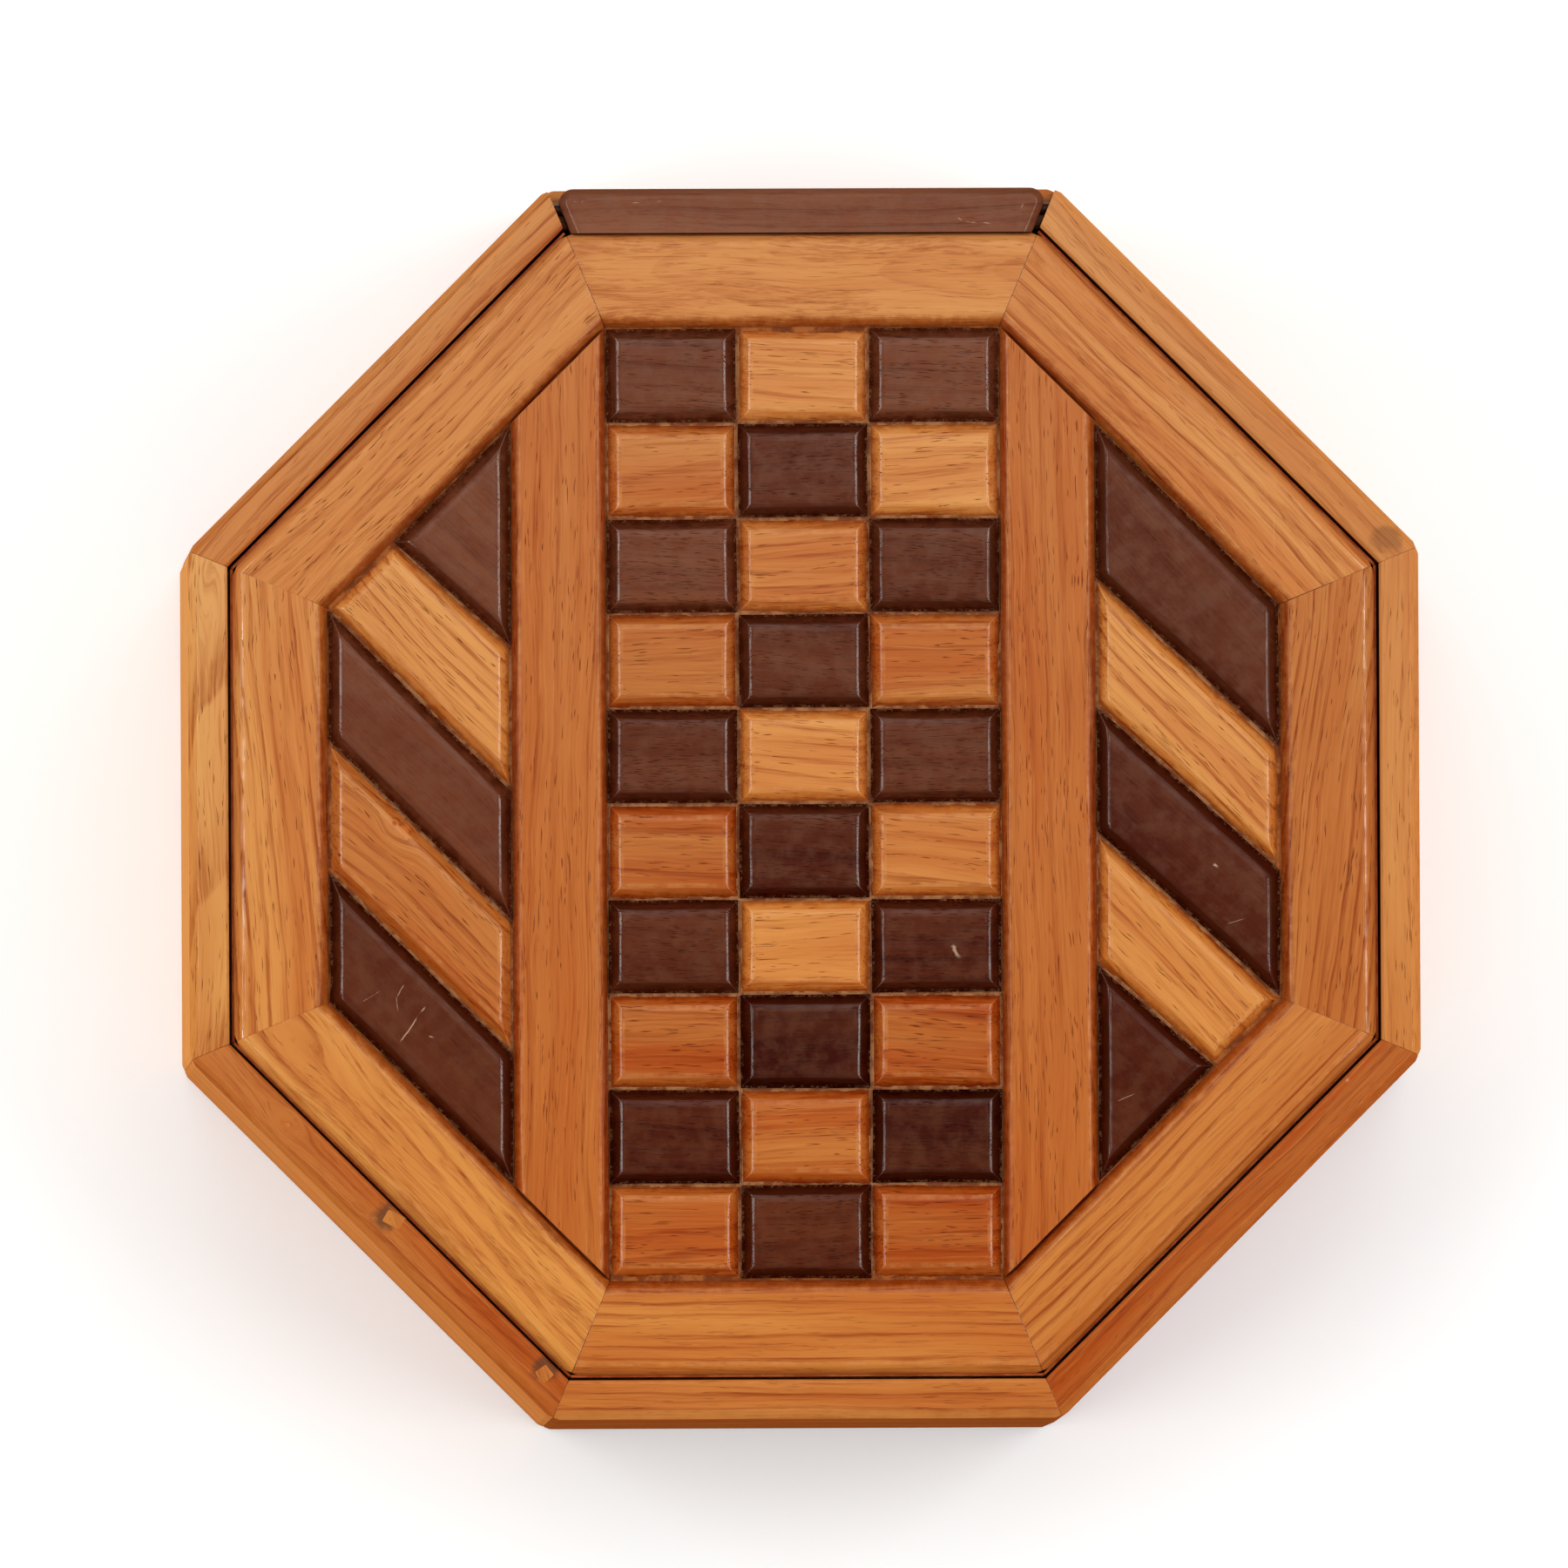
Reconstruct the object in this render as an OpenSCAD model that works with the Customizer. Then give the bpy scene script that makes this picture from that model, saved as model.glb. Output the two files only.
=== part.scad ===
// Octagonal puzzle box in two woods. The case is eight mitred walls round a base panel. The lid
// is a board that carries a mitred frame, two stiles, a checker field and two fields of slanting
// strips. It turns on two steel pins that are hidden in the ends of a dark hinge rail, and it is
// held shut by a tilt bolt that slides inside the front wall.
// +Z is up, +Y is towards the hinge, and the origin is the centre of the underside.

/* [Lid pattern] */
// Width of the frame pieces, the stiles and the strips, and the pitch of the checker rows
strip_w = 15.4; // [15:0.1:16.5]
// Width of the joint between neighbouring tiles
tile_gap = 0.3; // [0.1:0.05:0.5]
// Width of the bevel round each tile
bevel_w = 2; // [1.2:0.1:2.6]
// Drop of the bevel round each tile
bevel_drop = 1.5; // [0.8:0.1:2.2]
// Radius of the rounded long edges of the frame pieces
frame_round = 2.5; // [1:0.1:3]
// Radius of the rounded long edges of the stiles
stile_round = 2; // [1:0.1:2.6]

/* [Lid thickness] */
// Thickness of the board under the pattern
board_t = 6.4; // [5:0.1:8]
// Thickness of the frame pieces
frame_t = 5.8; // [5:0.1:7]
// Thickness of the light tiles
light_t = 5.4; // [4.6:0.1:6.4]
// Thickness of the dark tiles
dark_t = 6; // [5:0.1:7]
// Height of the frame above the wall tops
lid_proud = 0.8; // [0.4:0.1:1.2]

/* [Case] */
// Height of the walls
wall_h = 64; // [56:1:90]
// Thickness of the walls
wall_t = 6.4; // [6:0.1:8]
// Gap between the lid and the walls
lid_gap = 0.8; // [0.8:0.05:1.2]
// Thickness of the base panel
base_t = 5; // [4:0.5:8]
// Depth of the rebate that takes the base panel
rebate = 3; // [2:0.5:4]
// Width of the chamfer on the outer top edge of the walls
wall_chamfer = 1.4; // [0.8:0.1:2]

/* [Hinge] */
// Depth of the hinge axis under the wall tops
axis_drop = 2.8; // [2.6:0.1:3.2]
// Radius of the turning edge of the hinge rail
barrel_r = 3.4; // [3.2:0.1:3.6]
// Diameter of the hinge pins
pin_d = 2; // [1.6:0.1:2.2]
// Radial clearance of the pins in the hinge rail
pin_clear = 0.06; // [0.03:0.01:0.1]
// Gap between the hinge rail and the back wall
rail_gap = 0.3; // [0.2:0.05:0.4]
// Gap between each end of the hinge rail and the wall beside it
rail_end_gap = 0.9; // [0.8:0.05:1.2]
// Angle to which the lid opens
open_angle = 98; // [90:1:100]

/* [Tilt bolt] */
// Side of the square bolt
bolt_w = 6; // [5:0.5:7]
// Distance that the bolt slides
bolt_travel = 12; // [11:0.5:14]
// Clearance of the bolt in its guides and keeper
bolt_clear = 0.3; // [0.2:0.05:0.5]

/* [Hidden] */
rows = 10;
columns = 3;
turn = 45;
side_ratio = tan(turn / 2);
dark = "#73402D";
light = "#D38D51";
wall_wood = "#C98348";
inner_wood = "#C79A66";
steel = "#B8B8BA";

// Distances from the centre to the sides of the nested octagons
field_r = strip_w * rows / 2;
lid_r = field_r + strip_w;
wall_in_r = lid_r + lid_gap;
wall_out_r = wall_in_r + wall_t;
tile_w = 2 * field_r * side_ratio / columns;
strip_pitch = tile_w * cos(turn);
stile_in = field_r * side_ratio;
stile_out = stile_in + strip_w;

// The strips were cut and laid by hand: how far the joints of each side field lie off their even
// places, [beside the stile, beside the frame], from the first strip on
left_drift = [[2, 0], [0, 0], [0, 0], [0, 0]];
right_drift = [[2.5, 0.3], [2.5, 0], [3.3, 0.4], [3.8, 2.1]];

// Heights
frame_top = wall_h + lid_proud;
board_top = frame_top - frame_t;
board_bottom = board_top - board_t;

// Hinge
axis_y = wall_out_r - barrel_r;
axis_z = wall_h - axis_drop;
rail_round = 1.8;
rail_corner_r = 2.2;
rail_low = axis_z - barrel_r;
back_wall_h = rail_low - rail_gap;
tongue_t = 3.6;
tongue_l = 8;
tongue_half = 33;
swing_gap = 0.3;
pin_depth = 3.4;
pin_l = 9.6;

// Ledges that carry the lid
ledge_t = 4;
ledge_h = 6;
ledge_gap = 0.3;
ledge_top = board_bottom - ledge_gap;

// Tilt bolt, keeper and guides
keeper_x = 14;
keeper_l = 10;
keeper_wall = 2.9;
keeper_side_gap = 1;
bolt_y = -(wall_in_r - 13.2);
bolt_z = ledge_top - ledge_h - bolt_w;
guide_l = 10;
guide_low = bolt_z - bolt_w / 2 - bolt_clear - 3.4;
guide_back = bolt_y + bolt_w / 2 + bolt_clear + 3;
lug_l = 4;
lug_h = 3;
lug_gap = 0.15;
guide_b = keeper_x - keeper_l / 2 - keeper_side_gap - guide_l;
guide_a = guide_b - bolt_travel - lug_l - 2 * lug_gap - guide_l;
bolt_tip = guide_b + guide_l - 0.5;
bolt_tail = guide_a - bolt_travel + 0.3;
tip_chamfer = 1;

// Eased corners of the octagons, and lengths that pass right through the part
wall_corner_ease = 0.45;
lid_corner_ease = 0.5;
foot_chamfer = 0.8;
inner_chamfer = 0.5;
far = 300;

SIDES = [
    "back", "back_right", "right", "front_right",
    "front", "front_left", "left", "back_left"
];
LEDGES = ["right", "front_right", "front", "front_left", "left"];
HANDS = ["left", "right"];
STRIPS = [1:5];
ROWS = [1:rows];

// Name of one row's tiles of one wood, such as tile_row_03_dark
function row_name(r, wood) = str("tile_row_", r < 10 ? "0" : "", r, "_", wood);

// Number of steps round the octagon from the back to a named side
function side_no(side) = search([side], SIDES)[0];

// Octagonal prism by the distance from its centre to its sides
module octagon(r, low, high) {
    translate([0, 0, low])
        rotate([0, 0, turn / 2])
            cylinder(r = r / cos(turn / 2), h = high - low, $fn = 8);
}

// Prism that trims the eight corners of an octagon of size r back by ease
module corner_trim(r, ease, low, high) {
    rotate([0, 0, turn / 2])
        octagon(r / cos(turn / 2) - ease, low, high);
}

// Turns what is drawn at the back, where +Y points out, to a named side
module at_side(side) {
    rotate([0, 0, -turn * side_no(side)])
        children();
}

// Space between the two mitres of the back side, narrowed by gap at each end
module mitre_wedge(gap = 0) {
    shift = gap / sin(turn / 2);
    translate([0, shift, -far / 2])
        linear_extrude(far)
            polygon([[0, 0], [far * side_ratio, far], [-far * side_ratio, far]]);
}

// Bar along the back side, from a profile drawn in (distance from the centre, height)
module side_bar() {
    translate([-far / 2, 0, 0])
        rotate([90, 0, 90])
            linear_extrude(far)
                children();
}

// Rectangle whose two corners at the top are rounded by r
module round_top(x0, x1, y0, y1, r) {
    difference() {
        translate([x0, y0])
            square([x1 - x0, y1 - y0]);
        corner_waste(x1, y1, r);
        translate([x0 + x1, 0])
            mirror([1, 0])
                corner_waste(x1, y1, r);
    }
}

// What a rounding plane takes off a corner at (x, y)
module corner_waste(x, y, r) {
    difference() {
        translate([x - r, y - r])
            square(2 * r);
        translate([x - r, y - r])
            circle(r, $fn = 64);
    }
}

// Corner where two edges meet. An edge is [direction it faces, distance from the origin].
function meet(a, b) =
    let (k = sin(b[0] - a[0]))
    [
        (a[1] * sin(b[0]) - b[1] * sin(a[0])) / k,
        (b[1] * cos(a[0]) - a[1] * cos(b[0])) / k
    ];

// Corners of an outline, moved in by inset, at height z. The edges run anticlockwise.
function ring(edges, inset, z) =
    [for (i = [0:len(edges) - 1])
        let (
            a = edges[i] - [0, inset],
            b = edges[(i + 1) % len(edges)] - [0, inset]
        )
        concat(meet(a, b), z)];

// Piece of the pattern with a flat top and a bevel along each of its edges
module bevelled_piece(edges, t) {
    n = len(edges);
    top = board_top + t;
    corners = concat(
        ring(edges, 0, board_top),
        ring(edges, 0, top - bevel_drop),
        ring(edges, bevel_w, top)
    );
    sides = [for (low = [0, n], i = [0:n - 1])
        let (j = (i + 1) % n)
        [low + i, low + n + i, low + n + j, low + j]];
    underside = [for (i = [0:n - 1]) i];
    flat_top = [for (i = [n - 1:-1:0]) 2 * n + i];
    polyhedron(corners, concat([underside], sides, [flat_top]));
}

// Wall of one side, with its top at height top
module wall(side, top) {
    color(wall_wood)
        intersection() {
            at_side(side)
                intersection() {
                    side_bar()
                        wall_profile(top);
                    mitre_wedge();
                }
            corner_trim(wall_out_r, wall_corner_ease, -1, wall_h + 1);
        }
}

// Section of a wall: chamfered outer edges and a rebate for the base panel
module wall_profile(top) {
    r0 = wall_in_r;
    r1 = wall_out_r;
    polygon([
        [r0 + rebate, 0],
        [r1 - foot_chamfer, 0],
        [r1, foot_chamfer],
        [r1, top - wall_chamfer],
        [r1 - wall_chamfer, top],
        [r0 + inner_chamfer, top],
        [r0, top - inner_chamfer],
        [r0, base_t],
        [r0 + rebate, base_t]
    ]);
}

// The two walls beside the hinge, each bored for its pin
module pinned_wall(side) {
    difference() {
        wall(side, wall_h);
        color(wall_wood)
            translate([-pin_reach(), axis_y, axis_z])
                rotate([0, 90, 0])
                    cylinder(d = pin_d, h = 2 * pin_reach(), $fn = 48);
    }
}

// Distance from the middle to the outer end of a hinge pin
function pin_reach() = axis_y * side_ratio + pin_depth;

module base_panel() {
    color(inner_wood)
        octagon(wall_in_r + rebate, 0, base_t);
}

// Strip inside a wall, on which the lid comes to rest
module ledge(side) {
    color(inner_wood)
        at_side(side)
            intersection() {
                side_bar()
                    translate([wall_in_r - ledge_t, ledge_top - ledge_h])
                        square([ledge_t, ledge_h]);
                mitre_wedge();
            }
}

// Two blocks on the front wall, with a square way for the bolt through both
module bolt_guides() {
    way = bolt_w + 2 * bolt_clear;
    color(inner_wood)
        for (x = [guide_a, guide_b])
            difference() {
                translate([x, -wall_in_r, guide_low])
                    cube([guide_l, wall_in_r + guide_back, ledge_top - ledge_h - guide_low]);
                translate([x - 1, bolt_y - way / 2, bolt_z - way / 2])
                    cube([guide_l + 2, way, way]);
            }
}

module hinge_pins() {
    color(steel)
        for (x = [-pin_reach(), pin_reach() - pin_l])
            translate([x, axis_y, axis_z])
                rotate([0, 90, 0])
                    cylinder(d = pin_d, h = pin_l, $fn = 48);
}

// Dark rail along the back of the lid. It turns about the pins, so its ends are cut to the
// mitres of the walls beside it both as it lies shut and as it stands fully open.
module hinge_rail() {
    color(dark)
        difference() {
            union() {
                intersection() {
                    side_bar()
                        rail_profile();
                    rail_pillow();
                    translate([0, axis_y, axis_z])
                        rotate([open_angle, 0, 0])
                            translate([0, -axis_y, 0])
                                mitre_wedge(swing_gap);
                }
                tongue();
            }
            rail_bore();
        }
}

// Section of the rail below its top: half round outside, square where it meets the lid
module rail_profile() {
    translate([axis_y, axis_z])
        circle(barrel_r, $fn = 96);
    translate([lid_r, rail_low])
        square([axis_y - lid_r, 2 * barrel_r + 1]);
    translate([axis_y, axis_z])
        square(barrel_r + 1);
}

// Shape of the rail from above: its ends follow the mitres, its back corners are round, and its
// top is rounded over along the ends and the back
module rail_pillow() {
    top = axis_z + barrel_r;
    rings = concat(
        [rail_ring(0, rail_low - 1)],
        [for (a = [0:15:90])
            rail_ring(rail_round * (1 - cos(a)), top - rail_round * (1 - sin(a)))]
    );
    n = len(rings[0]);
    sides = [for (k = [0:len(rings) - 2], i = [0:n - 1])
        let (j = (i + 1) % n)
        [k * n + i, (k + 1) * n + i, (k + 1) * n + j, k * n + j]];
    underside = [for (i = [0:n - 1]) i];
    flat_top = [for (i = [n - 1:-1:0]) (len(rings) - 1) * n + i];
    polyhedron([for (r = rings) each r], concat([underside], sides, [flat_top]));
}

// Outline of the pillow, moved in by inset, at height z. Its front lies well inside the lid.
function rail_ring(inset, z) =
    let (
        slant = turn / 2,
        front = lid_r - 5,
        front_x = front * side_ratio - (rail_end_gap + inset) / cos(slant),
        cy = wall_out_r - rail_corner_r,
        cx = cy * side_ratio - (rail_end_gap + rail_corner_r) / cos(slant),
        r = rail_corner_r - inset,
        arc = [for (i = [0:9]) let (a = -slant + i * (90 + slant) / 9) [cx + r * cos(a), cy + r * sin(a)]]
    )
    concat(
        [[front_x, front, z]],
        [for (p = arc) [p[0], p[1], z]],
        [for (i = [9:-1:0]) [-arc[i][0], arc[i][1], z]],
        [[-front_x, front, z]]
    );

// Tongue of the rail, let in between the board and the frame
module tongue() {
    translate([-tongue_half, lid_r - tongue_l, rail_low])
        cube([2 * tongue_half, tongue_l + 1, tongue_t]);
}

// Blind holes for the pins in the ends of the rail
module rail_bore() {
    inner = pin_reach() - pin_l - 0.4;
    for (a = [0, 180])
        translate([0, axis_y, axis_z])
            rotate([0, 0, a])
                translate([inner, 0, 0])
                    rotate([0, 90, 0])
                        cylinder(d = pin_d + 2 * pin_clear, h = pin_l + 2, $fn = 48);
}

module lid_board() {
    color(inner_wood)
        difference() {
            intersection() {
                octagon(lid_r, board_bottom, board_top);
                corner_trim(lid_r, lid_corner_ease, board_bottom - 1, board_top + 1);
            }
            tongue();
        }
}

// Mitred frame piece with both long top edges rounded
module frame_piece(side) {
    color(light)
        difference() {
            intersection() {
                at_side(side)
                    intersection() {
                        side_bar()
                            round_top(field_r, lid_r, board_top, frame_top, frame_round);
                        mitre_wedge();
                    }
                corner_trim(lid_r, lid_corner_ease, board_top - 1, frame_top + 1);
            }
            if (side == "back")
                tongue();
        }
}

// Long piece beside the checker field, its ends cut to the frame
module stile(hand) {
    flip = hand == "left" ? 1 : 0;
    color(light)
        intersection() {
            mirror([flip, 0, 0])
                translate([0, far / 2, 0])
                    rotate([90, 0, 0])
                        linear_extrude(far)
                            round_top(stile_in, stile_out, board_top, board_top + light_t + 0.2, stile_round);
            octagon(field_r, board_top - 1, frame_top + 1);
        }
}

// Joint between strips k and k + 1 of the left field, as [direction it faces, distance from
// the centre], when its ends lie off their even places by drift
function strip_joint(k, drift) =
    let (
        low = (field_r - (5 - k) * strip_pitch) * sqrt(2),
        frame_x = max(-field_r, -(field_r * sqrt(2) + low) / 2),
        frame_end = [frame_x, -low - frame_x + drift[1]],
        run = [-stile_out, -low + stile_out + drift[0]] - frame_end,
        facing = 360 + atan2(-run[0], run[1])
    )
    [facing, frame_end * [cos(facing), sin(facing)]];

// Slanting strip of a side field, counted from the back of the left field. Three strips share
// each straight side of the frame. The right field is a left one turned half round.
module strip(hand, k) {
    is_dark = k % 2 == 1;
    half = tile_gap / 2;
    drift = hand == "left" ? left_drift : right_drift;
    above = k > 1 ? strip_joint(k - 1, drift[k - 2]) : [];
    below = k < 5 ? strip_joint(k, drift[k - 1]) : [225, field_r];
    outline = concat(
        [[0, -stile_out - half]],
        k > 1 ? [[above[0] - 180, -above[1] - half]] : [],
        k < 3 ? [[135, field_r - half]] : [],
        k > 2 ? [[180, field_r - half]] : [],
        [[below[0], below[1] - half]]
    );
    color(is_dark ? dark : light)
        rotate([0, 0, hand == "left" ? 0 : 180])
            bevelled_piece(outline, is_dark ? dark_t : light_t);
}

// All the tiles of one wood in one row, counted from the back
module tile_row(r, wood) {
    is_dark = wood == "dark";
    first = (r + (is_dark ? 1 : 0)) % 2;
    half = tile_gap / 2;
    y = field_r - (r - 0.5) * strip_w;
    color(is_dark ? dark : light)
        for (c = [first:2:columns - 1])
            translate([(c - 1) * tile_w, y, 0])
                bevelled_piece([
                    [0, tile_w / 2 - half],
                    [90, strip_w / 2 - half],
                    [180, tile_w / 2 - half],
                    [270, strip_w / 2 - half]
                ], is_dark ? dark_t : light_t);
}

// Block under the lid with a square hole that the bolt enters
module bolt_keeper() {
    way = bolt_w + 4 * bolt_clear;
    wide = way + 2 * keeper_wall;
    color(inner_wood)
        difference() {
            translate([keeper_x - keeper_l / 2, bolt_y - wide / 2, bolt_z - wide / 2])
                cube([keeper_l, wide, board_bottom - bolt_z + wide / 2]);
            translate([keeper_x - keeper_l, bolt_y - way / 2, bolt_z - way / 2])
                cube([2 * keeper_l, way, way]);
        }
}

// Square bolt with a pointed end, and a lug that stops it against the guides
module tilt_bolt() {
    half = bolt_w / 2;
    color(dark) {
        intersection() {
            translate([bolt_tail, bolt_y - half, bolt_z - half])
                cube([bolt_tip - bolt_tail, bolt_w, bolt_w]);
            translate([0, bolt_y + half + 1, 0])
                rotate([90, 0, 0])
                    linear_extrude(bolt_w + 2)
                        polygon([
                            [bolt_tail, bolt_z - half],
                            [bolt_tip - tip_chamfer, bolt_z - half],
                            [bolt_tip, bolt_z - half + tip_chamfer],
                            [bolt_tip, bolt_z + half - tip_chamfer],
                            [bolt_tip - tip_chamfer, bolt_z + half],
                            [bolt_tail, bolt_z + half]
                        ]);
        }
        translate([guide_a + guide_l + lug_gap, bolt_y - half, bolt_z])
            cube([lug_l, bolt_w, half + lug_h]);
    }
}

base_panel();
bolt_guides();
hinge_pins();
hinge_rail();
lid_board();
bolt_keeper();
tilt_bolt();
for (s = ["back_right", "back_left"])
    pinned_wall(s);
wall("back", back_wall_h);  // wall_back
for (s = LEDGES) {
    wall(s, wall_h);
    ledge(s);
}
for (s = SIDES)
    frame_piece(s);
for (h = HANDS)
    stile(h);
for (h = HANDS, k = STRIPS)
    strip(h, k);
for (r = ROWS, wood = ["dark", "light"])
    tile_row(r, wood);
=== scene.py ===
"""Octagonal wooden puzzle box: wood finishes, joint wax, repair plugs, studio and camera."""
import logging
import math
import random
from dataclasses import dataclass, field
from enum import Enum
from typing import Any, Iterable, Sequence, Union

import bmesh
import bpy
from mathutils import Euler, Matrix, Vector


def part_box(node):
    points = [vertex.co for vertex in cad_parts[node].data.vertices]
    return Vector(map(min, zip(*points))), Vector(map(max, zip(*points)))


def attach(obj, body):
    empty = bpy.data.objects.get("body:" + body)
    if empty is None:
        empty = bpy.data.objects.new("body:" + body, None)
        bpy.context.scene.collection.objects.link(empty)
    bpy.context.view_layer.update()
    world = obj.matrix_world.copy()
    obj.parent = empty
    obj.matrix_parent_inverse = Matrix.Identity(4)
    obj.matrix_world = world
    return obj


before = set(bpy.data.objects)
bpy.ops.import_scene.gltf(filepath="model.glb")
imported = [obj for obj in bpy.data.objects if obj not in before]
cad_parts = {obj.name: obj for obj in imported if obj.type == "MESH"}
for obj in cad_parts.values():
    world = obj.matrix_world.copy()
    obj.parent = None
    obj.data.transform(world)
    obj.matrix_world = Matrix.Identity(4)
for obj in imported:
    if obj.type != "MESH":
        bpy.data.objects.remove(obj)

LOG = logging.getLogger("puzzle_box")
MM = 0.001
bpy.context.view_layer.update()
SIDE_RATIO = math.tan(math.radians(22.5))  # half a side of an octagon over its inner radius

Colour = tuple[float, float, float]
Point = tuple[float, float]


def linear(red: float, green: float, blue: float) -> Colour:
    """Turn a display colour into the linear light that shaders use.

    Args:
        red: Red as displayed, 0 to 255.
        green: Green as displayed, 0 to 255.
        blue: Blue as displayed, 0 to 255.

    Returns:
        The linear colour.
    """
    def channel(value: float) -> float:
        """Linear value of one display channel."""
        share = value / 255
        return share / 12.92 if share <= 0.04045 else ((share + 0.055) / 1.055) ** 2.4
    return channel(red), channel(green), channel(blue)


def between(first: Colour, second: Colour, share: float) -> Colour:
    """Colour that lies the given share of the way from the first to the second."""
    return tuple(a + (b - a) * share for a, b in zip(first, second))


def scaled(colour: Colour, factor: float) -> Colour:
    """Colour made darker or lighter by a factor."""
    return tuple(part * factor for part in colour)


# --------------------------------------------------------------------------------------------
# Shader trees
# --------------------------------------------------------------------------------------------

class Wire:
    """Output socket of a shader node. Arithmetic on it adds Math nodes to the tree."""

    def __init__(self, graph: "Graph", socket: bpy.types.NodeSocket) -> None:
        """Keep the tree and the socket together."""
        self.graph = graph
        self.socket = socket

    def __add__(self, other: "Value") -> "Wire":
        """Sum."""
        return self.graph.math("ADD", self, other)

    def __radd__(self, other: "Value") -> "Wire":
        """Sum with a number on the left."""
        return self.graph.math("ADD", other, self)

    def __sub__(self, other: "Value") -> "Wire":
        """Difference."""
        return self.graph.math("SUBTRACT", self, other)

    def __rsub__(self, other: "Value") -> "Wire":
        """Difference with a number on the left."""
        return self.graph.math("SUBTRACT", other, self)

    def __mul__(self, other: "Value") -> "Wire":
        """Product."""
        return self.graph.math("MULTIPLY", self, other)

    def __rmul__(self, other: "Value") -> "Wire":
        """Product with a number on the left."""
        return self.graph.math("MULTIPLY", other, self)

    def __truediv__(self, other: "Value") -> "Wire":
        """Quotient."""
        return self.graph.math("DIVIDE", self, other)

    def __rtruediv__(self, other: "Value") -> "Wire":
        """Quotient with a number on the left."""
        return self.graph.math("DIVIDE", other, self)

    def __pow__(self, other: "Value") -> "Wire":
        """Power."""
        return self.graph.math("POWER", self, other)

    def __abs__(self) -> "Wire":
        """Size without sign."""
        return self.graph.math("ABSOLUTE", self)

    def fraction(self) -> "Wire":
        """Part after the decimal point."""
        return self.graph.math("FRACT", self)

    def whole(self) -> "Wire":
        """Whole number at or under the value."""
        return self.graph.math("FLOOR", self)

    def least(self, other: "Value") -> "Wire":
        """Smaller of the two values."""
        return self.graph.math("MINIMUM", self, other)

    def above(self, other: "Value") -> "Wire":
        """One where the value is larger than the other, else zero."""
        return self.graph.math("GREATER_THAN", self, other)

    def rise(self, start: float, end: float) -> "Wire":
        """Smooth step.

        Args:
            start: Where it is 0.
            end: Where it is 1, over or under the start.

        Returns:
            The step, 0 to 1.
        """
        low, high, flip = (start, end, False) if start < end else (end, start, True)
        return self.graph.add(
            "ShaderNodeMapRange",
            {"interpolation_type": "SMOOTHSTEP"},
            {"Value": self, "From Min": low, "From Max": high,
             "To Min": 1.0 if flip else 0.0, "To Max": 0.0 if flip else 1.0},
        )

    def stretched(self, factors: Sequence[float]) -> "Wire":
        """Vector with each part multiplied by its factor."""
        return self.graph.vector("MULTIPLY", self, tuple(factors))

    def shifted(self, offset: "Triple") -> "Wire":
        """Vector moved by an offset."""
        return self.graph.vector("ADD", self, offset)

    def parts(self) -> tuple["Wire", "Wire", "Wire"]:
        """Split a vector.

        Returns:
            Its three parts.
        """
        split = self.graph.add("ShaderNodeSeparateXYZ", None, {"Vector": self})
        outputs = split.socket.node.outputs
        return tuple(Wire(self.graph, outputs[k]) for k in range(3))


Value = Union[float, Wire]
Triple = Union[Sequence[float], Wire]


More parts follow.
